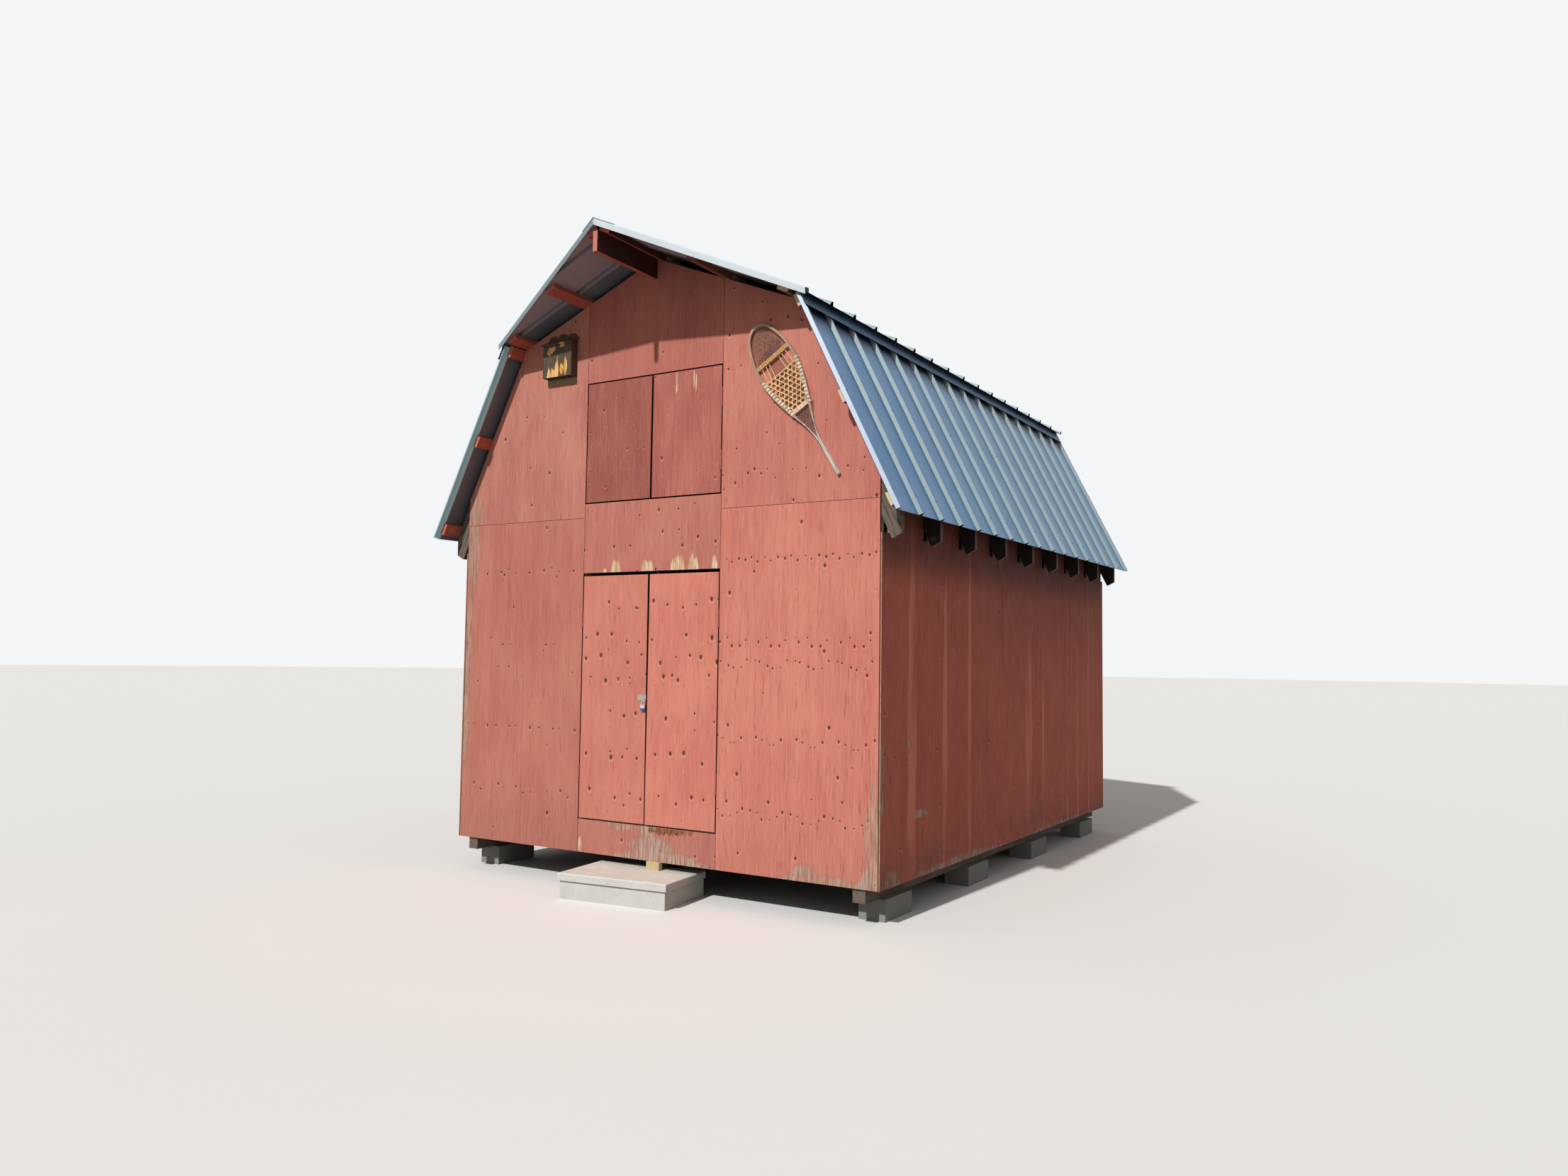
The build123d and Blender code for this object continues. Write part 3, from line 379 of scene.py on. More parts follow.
class BarnPaint(bpy.types.PropertyGroup):
    """Colours of the worn red paint and of the wood under it."""

    red: colour("Red", "Paint that the sun has faded", 0.655, 0.232, 0.168)
    red_side: colour("Side red", "Paint on the walls away from the sun", 0.475, 0.122, 0.087)
    knot: colour("Knot", "The dark middle of a knot", 0.078, 0.023, 0.018)
    chip: colour("Chip", "Small chips in the paint", 0.76, 0.40, 0.30)
    # The sheet edge colour is painted shade, for the cut edges that lie in shade in the gaps
    edge: colour("Sheet edge", "Dirty cut edges in the gaps", 0.030, 0.015, 0.011)
    stain: colour("Stain", "Damp along the side walls' foot", 0.15, 0.085, 0.055)
    bare_light: colour("Bare wood", "Wood where the paint has peeled", 0.76, 0.58, 0.38)
    bare_dark: colour("Bare wood, dark", "Grain of the peeled wood", 0.50, 0.30, 0.17)
    grey_light: colour("Grey wood", "Wood greyed by wet", 0.46, 0.37, 0.295)
    grey_dark: colour("Grey wood, dark", "Grain of the greyed wood", 0.22, 0.15, 0.115)
    ply_light: colour("Ply edge", "Plies along a cut edge", 0.42, 0.19, 0.075)
    ply_dark: colour("Ply edge, dark", "Glue lines along a cut edge", 0.06, 0.03, 0.02)


class BarnTimber(bpy.types.PropertyGroup):
    """Colours of the unpainted timber."""

    sawn_light: colour("Sawn wood", "Frame timber indoors", 0.60, 0.44, 0.27)
    sawn_dark: colour("Sawn wood, rings", "Growth rings of frame timber", 0.42, 0.28, 0.15)
    old_light: colour("Weathered wood", "Timber out in the weather", 0.185, 0.148, 0.118)
    old_dark: colour("Weathered wood, rings", "Rings of weathered timber", 0.085, 0.065, 0.05)
    # The rafter-tail colour is painted shade, used on the tails' front faces and on the beam's right-hand
    # sides
    tail_shade: colour("Rafter tail", "The darkened faces of the rafter tails", 0.018, 0.013, 0.011)
    end_grain: colour("Fresh end", "Unpainted ends of the purlins", 0.72, 0.58, 0.40)
    shim_light: colour("Shim", "The pale shim over the step", 0.62, 0.50, 0.27)
    shim_dark: colour("Shim, rings", "Growth rings of the shim", 0.45, 0.33, 0.17)


class BarnRoof(bpy.types.PropertyGroup):
    """Colours of the roof's steel, and the size of its screws."""

    # The steel colours are grey zinc with a painted reflection of blue sky, darker at the front
    steel: colour("Roof steel", "The ribbed sheets at the front", 0.098, 0.210, 0.382)
    steel_back: colour("Roof steel, back", "The ribbed sheets at the back", 0.145, 0.252, 0.385)
    # Painted highlights: the rib flanks that face the lamp, and the edge rib's flank lighter still
    rib_highlight: colour("Rib flank", "The ribs' flanks that face the light", 0.245, 0.325, 0.345)
    edge_rib_highlight: colour("Edge rib", "The bare flank along the front edge", 0.42, 0.51, 0.62)
    underside: colour("Underside", "The sheets as seen from below", 0.170, 0.190, 0.240)
    trim: colour("Trim", "Bright rake trims", 0.66, 0.73, 0.78)
    flashing: colour("Flashing", "The flashing at the roof's bend", 0.048, 0.092, 0.160)
    screw: colour("Screw", "The roof's screws", 0.20, 0.22, 0.24)
    washer_radius: distance("Washer radius", "Half the width of a screw's washer", 0.0075, 0.004, 0.012)
    head_radius: distance("Head radius", "Half the width of a screw's hexagon", 0.0047, 0.002, 0.008)


class BarnMetalwork(bpy.types.PropertyGroup):
    """Colours of the hinges, the hasp, the padlock and the concrete."""

    zinc: colour("Zinc", "Zinc plating on the hasp", 0.52, 0.50, 0.46)
    rust: colour("Rust", "Rust on screws and plates", 0.17, 0.065, 0.03)
    lock: colour("Lock", "The padlock's body", 0.72, 0.74, 0.77)
    bumper: colour("Bumper", "The soft rim at the padlock's foot", 0.045, 0.10, 0.42)
    bumper_worn: colour("Bumper, worn", "Scuffs on the soft rim", 0.12, 0.17, 0.45)
    concrete: colour("Concrete", "The cast step and the blocks", 0.72, 0.73, 0.70)
    tread: colour("Worn tread", "The step's tread", 0.65, 0.615, 0.54)


class BarnHangings(bpy.types.PropertyGroup):
    """Colours and sizes of the bat box and the snowshoe."""

    box_dark: colour("Box", "Old brown boards of the bat box", 0.115, 0.075, 0.045)
    box_panel: colour("Front board", "The bat box's greyed front", 0.120, 0.090, 0.062)
    varnish: colour("Varnish", "Varnish left on the front board", 0.72, 0.30, 0.055)
    varnish_pale: colour("Pale varnish", "Thin varnish over pale wood", 0.82, 0.56, 0.25)
    ledge: colour("Ledge", "The landing board under the bat box", 0.30, 0.21, 0.12)
    stick: colour("Frame stick", "The snowshoe's bent frame", 0.47, 0.31, 0.22)
    stick_grey: colour("Tail", "The snowshoe's greyed tail", 0.66, 0.60, 0.55)
    bar: colour("Crossbar", "The snowshoe's pale crossbars", 0.80, 0.43, 0.17)
    rawhide: colour("Rawhide", "The thick lacing underfoot", 1.0, 0.75, 0.36)
    wrap: colour("Wraps", "The pale turns round the frame", 0.98, 0.90, 0.74)
    thin_lace: colour("Thin lacing", "The dark lacing at toe and heel", 0.235, 0.160, 0.115)
    strand: distance("Thick strand", "Diameter of the thick lacing", 0.0058, 0.002, 0.008)
    thin_strand: distance("Thin strand", "Diameter of the thin lacing", 0.0026, 0.0008, 0.003)
    mesh_gap: distance("Thick mesh", "Distance between parallel thick strands", 0.032, 0.015, 0.05)
    thin_gap: distance("Thin mesh", "Distance between parallel thin strands", 0.0145, 0.006, 0.03)


class BarnStage(bpy.types.PropertyGroup):
    """The camera, the lamps and the floor."""

    lens: FloatProperty(name="Lens", description="Focal length for a 36 mm sensor", unit="CAMERA",
                        min=10, max=100, default=25.69)
    camera_place: FloatVectorProperty(name="Camera", description="Where the camera stands",
                                      subtype="TRANSLATION", size=3, default=(4.9763, -8.4418, 1.659))
    yaw: angle("Yaw", "Turn to the left from looking straight back", 31.63)
    pitch: angle("Pitch", "Upward tilt", 3.547)
    roll: angle("Roll", "Turn about the line of sight", 0.758)
    key_strength: FloatProperty(name="Key", description="Strength of the main lamp", min=0, max=10,
                                default=3.08)
    key_softness: angle("Softness", "Width of the main lamp as seen from the shed", 1.4)
    key_direction: FloatVectorProperty(name="Key direction", description="Where the main lamp shines",
                                       subtype="DIRECTION", size=3, default=(0.04, 1.0, -0.94))
    ambient: FloatProperty(name="Ambient", description="Strength of the light from all round", min=0,
                           max=2, default=0.33)
    floor_colour: colour("Floor", "The pale floor", 0.80, 0.80, 0.79)
    floor_bounce: colour("Floor bounce", "The floor as it lights the shed", 0.30, 0.28, 0.25)
    floor_sides: IntProperty(name="Floor sides", description="Corners of the round floor", min=12,
                             max=256, default=96)
    floor_radius: distance("Floor radius", "Half the width of the floor", 120.0, 10, 500)


# Painted plywood

def red_paint(look, name, seed, red, lines=0.5, figure=0.15, stray=(0.11, 0.27, 0.0095, 0.22), rows=(),
              row_knots=(0.052, 0.0080, 0.85), bare=(), grey=(), washed=(), faded=(), painted_shadows=(),
              uneven=0.88, axis=1):
    """Worn red paint on peeled veneer; gives the finish and its tone.

    stray gives single knots as their spacing, row height, radius and chance. rows are the heights of whole
    rows of knots, and row_knots their spacing, radius and chance. bare, grey, washed and faded list worn
    patches as (centre across, half width, level, reach): bare wood, greyed wood, a thin grey film and
    lighter paint; the list after them gives painted shadow the same way, as darker paint. uneven is the
    tone of the darker patches, and axis the one that the face looks along.
    """
    paint = Finish(name, specular_ior_level=0.25)
    x, y, up = split(paint.place)
    across = x + y
    board = join(across + seed, seed * 0.37, up)
    fine, line, rings = paint.group("wood_grain", Vector=board)
    patch, streak, chip = paint.group("paint_weather", Vector=board)
    knots = paint.group("knot_rows", Across=across, Up=up, Spacing=stray[0], Row_Height=stray[1],
                        Size=stray[2], Chance=stray[3], Seed=seed)
    for number, level in enumerate(rows):
        row = paint.group("knot_line", Across=across, Above=up - level, Spacing=row_knots[0],
                          Size=row_knots[1], Chance=row_knots[2], Seed=seed + 1.7 * number)
        knots = [one.math("MAXIMUM", other) for one, other in zip(knots, row)]
    core, rim, halo = knots
    dark = rgba(red, 0.84, 0.78, 0.82)
    tone = layered(
        blend(patch, rgba(red, uneven, 0.88 * uneven, 0.95 * uneven), rgba(red, 1.03, 1.06, 1.04)),
        (streak * 0.4, rgba(red, 1.12, 1.25, 1.2)),
        (up.ramp(FOOT_Z + 0.55, FOOT_Z, 0.0, 0.5), rgba(red, 0.76, 0.80, 0.84)),
        (rings * figure, dark),
        (fine.ramp(0.54, 0.68, 0.0, 0.4), rgba(red, 1.2, 1.45, 1.4)),
        (line * lines, rgba(red, 0.45, 0.35, 0.37)),
        (halo * 0.28, dark),
        # Painted highlight: the pale crescent under each knot
        (rim * 0.45, rgba(look.chip)),
        (core * 0.92, rgba(look.knot)),
        (chip * 0.5, rgba(look.chip)))
    coarse = noise(board, (34, 34, 3))
    ragged = (fine - coarse).scaled(0.5, coarse)

    def patches(marks, flank=2.0):
        """The union of the marks' patches."""
        whole = None
        for centre, half_width, level, reach in marks:
            mask = paint.group("worn_patch", Across=across, Up=up, Ragged=ragged, Centre=centre,
                               Half_Width=half_width, Level=level, Reach=reach, Flank=flank)[0]
            whole = whole.math("MAXIMUM", mask) if whole else mask
        return whole

    if faded:
        broken = noise(board, (6, 6, 0.9), 3.0).ramp(0.38, 0.6, 0.15, 0.95)
        tone = blend(patches(faded) * broken, tone, rgba(red, 1.5, 1.85, 1.85))
    # Painted shadow: darker patches of paint
    if painted_shadows:
        tone = blend(patches(painted_shadows) * 0.6, tone, rgba(red, 0.32, 0.34, 0.4))
    fibres = fine.ramp(0.38, 0.6)
    if washed:
        film = blend(fibres, rgba(look.grey_dark), rgba(look.grey_light))
        tone = blend(patches(washed) * 0.5, tone, film)
    height = fine * 0.5 - core * 0.9
    for marks, flank, low, high, least in ((grey, 2.0, look.grey_dark, look.grey_light, 0.4),
                                           (bare, 4.0, look.bare_dark, look.bare_light, 1.0)):
        if marks:
            worn = patches(marks, flank)
            wood = blend(fibres, rgba(low), rgba(high))
            tone = blend(worn * fibres.ramp(0.0, 1.0, least, 1.0), tone, wood)
            height = height - worn * 0.35
    # Painted shade: faces that look across the sheet, the cut edges in the gaps, are made very dark
    tone = blend(abs(paint.facing(axis)).ramp(0.7, 0.4), tone, rgba(look.edge))
    paint.feed(base_color=tone, roughness=fine.ramp(0.3, 0.7, 0.9, 0.68))
    paint.relief(height, 0.0016, 0.7)
    return paint, tone


def side_weather(look, paint, tone):
    """Weather on a side wall: painted shade under the eave, a stained foot, and bare front edges.

    The cut edge at the front shows the plies: dark at the inner face, brown in the middle and a pale
    splintered line at the outer face.
    """
    x, y, z = split(paint.place)
    # Painted shade under the eave: darkest at the top, and reaching further down towards the back
    eave_shade_reach = z.ramp(2.30, 1.25).ramp(0.0, 1.0, y.ramp(-1.6, 0.3, 1.0, 0.68), 1.0)
    tone = dim(tone, z.ramp(2.40, 2.08, 0.34, 1.0) * eave_shade_reach)
    damp = noise(paint.place, (3, 3, 5), 4.0, 0.6).ramp(0.42, 0.66) * z.ramp(FOOT_Z + 0.32, FOOT_Z + 0.05)
    tone = blend(damp * 0.6, tone, rgba(look.stain))
    inset = SIDE_X - abs(x)
    splinters = noise(paint.place, (300, 300, 22)).ramp(0.35, 0.65, 0.0, 0.5)
    plies = layered(rgba(look.ply_light), (inset.ramp(0.0075, 0.010), rgba(look.ply_dark)),
                    (inset.ramp(0.0040, 0.0028), rgba(look.grey_light, 1.25)),
                    (splinters, rgba(look.ply_dark)))
    paint.feed(base_color=blend((paint.facing(1) * -1.0).ramp(0.8, 0.95), tone, plies))


# Each front sheet's paint against the faded red of the right-hand sheet
PAINT_TINTS = {
    "front_wall_right": (0.98, 0.97, 0.98), "front_wall_left": (0.78, 0.79, 0.82),
    "lower_door_left": (0.95, 0.94, 0.95), "lower_door_right": (1.0, 0.99, 0.99),
    "front_door_panels": (0.80, 0.82, 0.86), "front_gable_left": (0.85, 0.93, 0.98),
    "front_gable_right": (0.89, 0.90, 0.93), "front_gable_top": (0.77, 0.75, 0.79),
    "loft_door_left": (0.62, 0.56, 0.59), "loft_door_right": (0.76, 0.69, 0.75),
}
SHEET_ROWS = (2.30, 1.767, 1.614, 1.116, 0.627)
DOOR_ROWS = (2.019, 1.783, 1.633, 1.508, 1.25, 0.963, 0.663)
DOOR_KNOTS = (0.128, 0.0118, 0.8)

# Peeled tongues over the doors, as (x, half width, reach); faded bands and scuffs on the side walls
PEELED = ((-0.305, 0.046, 0.10), (-0.018, 0.058, 0.09), (0.252, 0.068, 0.11), (0.388, 0.048, 0.12),
          (0.568, 0.027, 0.11), (-0.41, 0.02, 0.035))
SIDE_BANDS = ((-1.74, 0.075, 1.9), (-0.755, 0.04, 1.6), (-1.2, 0.05, 1.1), (0.889, 0.035, 1.5),
              (0.52, 0.10, 1.0), (1.555, 0.03, 1.5), (1.853, 0.03, 1.3), (2.2, 0.03, 1.3))
SIDE_SCUFFS = ((-1.765, 0.06, 1.105, 0.03), (-1.6, 0.13, 0.64, 0.035), (FRONT_Y + 0.03, 0.03, 0.9, 0.35),
               (FRONT_Y + 0.15, 0.16, FOOT_Z - 0.01, 0.14), (-0.9, 1.2, FOOT_Z - 0.03, 0.09),
               (1.3, 1.6, FOOT_Z - 0.03, 0.07))


class BARN_OT_dress_walls(bpy.types.Operator):
    """Paint the plywood walls, gables and doors, each with its own wear"""

    bl_idname = "barn.dress_walls"
    bl_label = "Walls and doors"

    def execute(self, context):
        look = context.scene.barn_paint
        loft_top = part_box("loft_door_right")[1].z
        laced = on_shoe(0.0, np.linspace(HEEL_BAR, TOE_BAR, 5), 0.0)
        wear = {
            "front_door_panels": dict(
                bare=[(x, half, HEAD_Z, reach) for x, half, reach in PEELED] + [(-0.588, 0.016, 0.29, 0.06)],
                grey=[(0.03, 0.11, SILL_Z - 0.01, 0.10), (0.06, 0.24, 0.33, 0.09),
                      (0.14, 0.48, FOOT_Z + 0.01, 0.09)],
                washed=[(-0.20, 0.16, SILL_Z - 0.02, 0.05)],
                stray=(0.16, 0.2, 0.009, 0.4), rows=(2.42,), row_knots=(0.15, 0.009, 0.6)),
            "front_wall_left": dict(
                rows=(2.30, 1.70, 1.12, 0.62), row_knots=(0.075, 0.0078, 0.6),
                washed=[(-1.78, 0.10, 2.50, 0.40), (-1.80, 0.05, 1.5, 0.9)]),
            "front_wall_right": dict(
                lines=0.62, rows=SHEET_ROWS,
                grey=[(1.42, 0.42, FOOT_Z - 0.01, 0.085), (1.30, 0.10, FOOT_Z + 0.06, 0.06),
                      (1.76, 0.07, FOOT_Z + 0.03, 0.13), (WALL_X, 0.018, 0.45, 0.55)],
                washed=[(1.79, 0.06, 0.60, 0.40)]),
            "front_gable_left": dict(
                stray=(0.2, 0.36, 0.010, 0.35), figure=0.2, washed=[(-1.76, 0.10, 2.72, 0.25)], uneven=0.82),
            "front_gable_right": dict(
                stray=(0.12, 0.25, 0.0095, 0.4), lines=0.6, rows=(2.87,), row_knots=(0.11, 0.0085, 0.6),
                # Painted shadow of the snowshoe's lacing on the gable
                painted_shadows=[(x, 0.10, z, 0.14) for x, y, z in laced]),
            "front_gable_top": dict(stray=(0.22, 0.36, 0.011, 0.3), figure=0.25),
            "lower_door_left": dict(rows=DOOR_ROWS, row_knots=DOOR_KNOTS),
            "lower_door_right": dict(rows=DOOR_ROWS, row_knots=DOOR_KNOTS),
            "loft_door_left": dict(stray=(0.15, 0.2, 0.0085, 0.3), figure=0.7, uneven=0.62),
            "loft_door_right": dict(
                stray=(0.15, 0.2, 0.0085, 0.35), figure=0.6, uneven=0.7,
                bare=[(0.214, 0.008, loft_top - 0.07, 0.10), (0.365, 0.006, loft_top - 0.06, 0.08),
                      (0.384, 0.006, loft_top - 0.09, 0.07)]),
        }
        seed = 3.1
        for name, marks in wear.items():
            for kind in ("bare", "grey", "washed", "painted_shadows"):
                marks[kind] = [(centre + FRONT_Y, *rest) for centre, *rest in marks.get(kind, ())]
            red = rgba(look.red, *PAINT_TINTS[name])
            red_paint(look, "red_paint_" + name, seed, red, **marks)[0].paint(name)
            seed += 2.9
        for name, sign, seed in (("right_wall", 1, 31.3), ("left_wall", -1, 34.9)):
            paint, tone = red_paint(
                look, "red_paint_" + name, seed, look.red_side, lines=0.4, stray=(0.16, 0.3, 0.008, 0.3),
                axis=0, faded=[(y + sign * SIDE_X, half, 1.15, reach) for y, half, reach in SIDE_BANDS],
                grey=[(y + sign * SIDE_X, *rest) for y, *rest in SIDE_SCUFFS])
            side_weather(look, paint, tone)
            paint.paint(name)
        back = red_paint(look, "red_paint_back", 38.1, look.red_side, lines=0.4, figure=0.2,
                         rows=SHEET_ROWS, grey=[(BACK_Y, 2.5, FOOT_Z - 0.03, 0.07)])[0]
        back.paint("back_wall")
        return {"FINISHED"}


# Timber

def along(place, direction):
    """Coordinates whose Z runs with the fibres: x, y or z, or down a slope of so many radians."""
    x, y, z = split(place)
    if direction == "z":
        return place
    if direction == "x":
        return join(y, z, x)
    if direction == "y":
        return join(x, z, y)
    out = abs(x)
    down = out * cos(direction) - z * sin(direction)
    return join(out * sin(direction) + z * cos(direction), y, down)


def sawn_timber(name, light, dark, direction, roughness=0.85):
    """Sawn wood: hairlines, growth rings and a slow change of tone. Gives the finish, its tone and fibres."""
    wood = Finish(name, specular_ior_level=0.2, roughness=roughness)
    fine, line, rings = wood.group("wood_grain", Vector=along(wood.place, direction))
    tone = layered(rgba(light), (rings * 0.55, rgba(dark)),
                   (noise(wood.place, 3, 1.0).ramp(0.3, 0.7, 0.0, 0.4), rgba(light, 0.8)),
                   (line * 0.5, rgba(dark, 0.6)))
    wood.feed(base_color=tone)
    wood.relief(fine, 0.0008, 0.6)
    return wood, tone, fine


class BARN_OT_dress_timber(bpy.types.Operator):
    """Give the frame, the floor, the rafters and the purlins their wood"""

    bl_idname = "barn.dress_timber"
    bl_label = "Timber"

    def execute(self, context):
        look = context.scene.barn_timber
        paint = context.scene.barn_paint
        for name, kind, direction, nodes in (
            ("sawn_upright", "sawn", "z", ("front_wall_studs", "side_wall_frames", "back_wall_frame")),
            ("sawn_across", "sawn", "x", ("front_wall_plates", "loft_joists")),
            ("sawn_upper_rafters", "sawn", UPPER_PITCH, ("upper_rafters",)),
            ("plywood_loft", "sawn", "y", ("loft_floor",)),
            ("plywood_gussets", "sawn", LOWER_PITCH, ("rafter_gussets",)),
            ("old_across", "old", "x", ("floor_frame",)),
            ("old_lengthways", "old", "y", ("floor_skids",)),
            ("old_deck", "old", "y", ("floor_deck",)),
            ("shim_wood", "shim", "z", ("step_shim",)),
        ):
            light, dark = getattr(look, kind + "_light"), getattr(look, kind + "_dark")
            sawn_timber(name, light, dark, direction)[0].paint(*nodes)

        # Lower rafters: fresh indoors, greyed on the tails outside the wall, with painted shade on their
        # front faces
        wood, tone, fine = sawn_timber("rafter_wood", look.sawn_light, look.sawn_dark, LOWER_PITCH)
        x, y, z = split(wood.place)
        # Painted shade: patchy darkening of the tails' front faces, all but the first tail's
        stain = noise(wood.place, 9, 3.0).ramp(0.74, 0.60)
        first = y.ramp(FRONT_Y + 0.12, FRONT_Y + 0.06)
        tail_shade_mask = wood.facing(1).ramp(-0.5, -0.9) * stain * (1.0 - first)
        old = layered(rgba(look.old_dark), (fine.ramp(0.36, 0.62), rgba(look.old_light)),
                      (tail_shade_mask * 0.97, rgba(look.tail_shade)))
        wood.feed(base_color=blend(abs(x).ramp(WALL_X - 0.003, WALL_X), tone, old))
        wood.paint("lower_rafters")

        # Ridge beam and purlins: painted outdoors, with the right-hand ends left as sawn. The right-hand
        # sides get painted shade, very dark on the beam and brown on the purlins.
        wood, tone, fine = sawn_timber("painted_beams", paint.red_side, rgba(paint.red_side, 0.8), "y")
        x, y, z = split(wood.place)
        ends = wood.facing(1).ramp(-0.8, -0.95)
        worn = noise(wood.place, (30, 8, 30), 3.0).ramp(0.56, 0.64)
        shaded_right_side = wood.facing(0).ramp(0.5, 0.8) * x.ramp(-0.2, -0.1)
        right_shade_tone = blend(x.ramp(0.2, 0.4), rgba(look.tail_shade, 0.8), rgba(look.old_dark, 0.8))
        indoors = y.ramp(FRONT_Y, FRONT_Y + 0.02) * y.ramp(BACK_Y, BACK_Y - 0.02)
        tone = layered(
            tone,
            (worn * 0.35, rgba(paint.bare_dark)),
            (ends, rgba(paint.red, 0.9)),
            # Painted shade on the right-hand faces, and in brown patches on the right-hand purlins
            (shaded_right_side * 0.93, right_shade_tone),
            (x.ramp(0.2, 0.3) * worn.ramp(0.0, 1.0, 0.9, 0.45), rgba(look.old_dark, 1.5, 0.9, 0.75)),
            (indoors, rgba(look.sawn_dark)),
            (ends * x.ramp(0.9, 1.1), rgba(look.end_grain)))
        wood.feed(base_color=tone)
        wood.paint("ridge_beam", "roof_purlins")
        return {"FINISHED"}


# Roof

def zinc_sheet(name, bright, dull, metallic, roughness):
    """Zinc-coated steel: faint crystals, dull bloom, and stains that run down with the rain."""
    steel = Finish(name, metallic=metallic)
    crystal, stain = steel.group("zinc_spangle", Vector=steel.place)
    run = noise(steel.place, (1.2, 22, 1.2), 3.0).ramp(0.4, 0.7)
    tone = layered(rgba(bright), (stain * 0.35, rgba(dull)), (crystal * 0.12, rgba(dull)),
                   (run * 0.16, rgba(bright, 0.7)))
    steel.feed(base_color=tone, roughness=stain.scaled(0.1, crystal.scaled(0.08, roughness)))
    steel.relief(noise(steel.place, (3, 5, 3), 1.0), 0.004, 0.35)
    return steel, tone


class BARN_OT_dress_roof(bpy.types.Operator):
    """Give the sheets, trims, cap and flashings their steel"""

    bl_idname = "barn.dress_roof"
    bl_label = "Roof steel"

    def execute(self, context):
        look = context.scene.barn_roof
        for slope in ("upper", "lower"):
            steel, tone = zinc_sheet(slope + "_zinc", look.steel, rgba(look.steel, 1.2), 0.8, 0.36)
            x, y, z = split(steel.place)
            # Painted reflection: the steel's blue stands for sky reflected in its grey zinc, darker at the
            # front and paler towards the back
            tone = blend(y.ramp(-2.4, 0.6), tone, rgba(look.steel_back))
            flank = steel.facing(1).ramp(-0.25, -0.5)
            first = y.ramp(RIB_FIRST_Y + 0.040, RIB_FIRST_Y + 0.034)
            # Painted shade and light on the underside: darker back by the wall, lighter out under the
            # overhang
            under = dim(rgba(look.underside), y.ramp(FRONT_Y - 0.08, FRONT_Y - 0.40, 0.8, 1.8))
            if slope == "upper":
                ends = abs(x).ramp(SKIN_KNEE[0] - 0.02, SKIN_KNEE[0] + 0.03)
                # Painted light on the prow's underside and its rib flanks, and a painted highlight inside the
                # ribs' open ends at the knee
                under = layered(under, (first, rgba(look.underside, 1.9, 1.65, 1.5)),
                                (flank, rgba(look.underside, 1.15, 1.0, 0.92)), (ends, rgba(look.rib_highlight, 2.6)))
            else:
                # Painted shade under the flashing along the sheets' upper edge
                down = (SKIN_KNEE[1] - z) * (1 / sin(LOWER_PITCH))
                tone = dim(tone, down.ramp(0.17, 0.36, 0.25, 1.0))
                # Painted shade on the underside's rib flanks that the lamp lights, and painted light along
                # the edge rib's underside
                under = layered(under, (flank, rgba(look.underside, 0.42, 0.34, 0.31)),
                                (first * 0.9, rgba(look.edge_rib_highlight, 1.3, 1.8, 1.6)))
            # Painted highlight on the rib flanks that face the front, lightest on the edge rib
            tone = blend(flank, tone, blend(first, rgba(look.rib_highlight), rgba(look.edge_rib_highlight)))
            # Painted shadow: the underside nearly black by the wall on the right-hand slopes
            corner = x.ramp(0.02, 0.06) * y.ramp(FRONT_Y - 0.2, FRONT_Y - 0.1)
            under = blend(corner, under, rgba(look.underside, 0.06))
            below = steel.facing(2).ramp(0.05, -0.1)
            # Where the colour holds painted light or shade, the underside and the front-facing flanks, the
            # steel is made nearly non-metallic
            painted_light_faces = below.math("MAXIMUM", flank)
            steel.feed(base_color=blend(below, tone, under), metallic=painted_light_faces.ramp(0.0, 1.0, 0.8, 0.1))
            steel.paint(slope + "_roof_left", slope + "_roof_right")
        cap = zinc_sheet("cap_zinc", look.steel_back, rgba(look.steel_back, 1.3), 0.75, 0.4)[0]
        cap.paint("ridge_cap")
        flashing = zinc_sheet("flashing_steel", look.flashing, rgba(look.flashing, 1.8), 0.6, 0.42)[0]
        flashing.paint("knee_flashings")
        trim, tone = zinc_sheet("trim_zinc", look.trim, rgba(look.trim, 0.85), 0.35, 0.34)
        # Painted reflection: the left-hand trims darker and bluer than the right-hand ones
        left = split(trim.place)[0].ramp(0.02, -0.02)
        trim.feed(base_color=blend(left, tone, rgba(look.trim, 0.36, 0.42, 0.42)))
        trim.paint("rake_trims")
        return {"FINISHED"}


# Metalwork and concrete

def aged_plate(name, metal, rust, amount, metallic=0.8):
    """Plated steel that rusts in patches; amount is the share of the rust, from 0 to 1."""
    plate = Finish(name)
    rusted = noise(plate.place, 60, 4.0, 0.65).ramp(0.72 - 0.4 * amount, 0.8 - 0.4 * amount)
    fine = noise(plate.place, 400)
    tone = layered(rgba(metal), (fine * 0.3, rgba(metal, 0.6)), (rusted, rgba(rust)))
    plate.feed(base_color=tone, metallic=rusted.ramp(0.0, 1.0, metallic, 0.0),
               roughness=rusted.ramp(0.0, 1.0, 0.4, 0.85))
    plate.relief(fine + rusted, 0.0003, 0.6)
    return plate


class BARN_OT_dress_metalwork(bpy.types.Operator):
    """Give the hinges, the hasp and the padlock their metal"""

    bl_idname = "barn.dress_metalwork"
    bl_label = "Hinges and lock"

    def execute(self, context):
        look = context.scene.barn_metalwork
        painted = rgba(context.scene.barn_paint.red, 0.62, 0.5, 0.55)
        hinge = aged_plate("painted_hinge", painted, look.rust, 0.45, 0.1)
        hinge.paint("jamb_hinge_leaves", "door_leaves_left", "door_leaves_right", "loft_hinges")
        aged_plate("hasp_zinc", look.zinc, look.rust, 0.3).paint("hasp")
        aged_plate("padlock_steel", look.lock, look.zinc, 0.15, 0.95).paint("padlock")
        return {"FINISHED"}


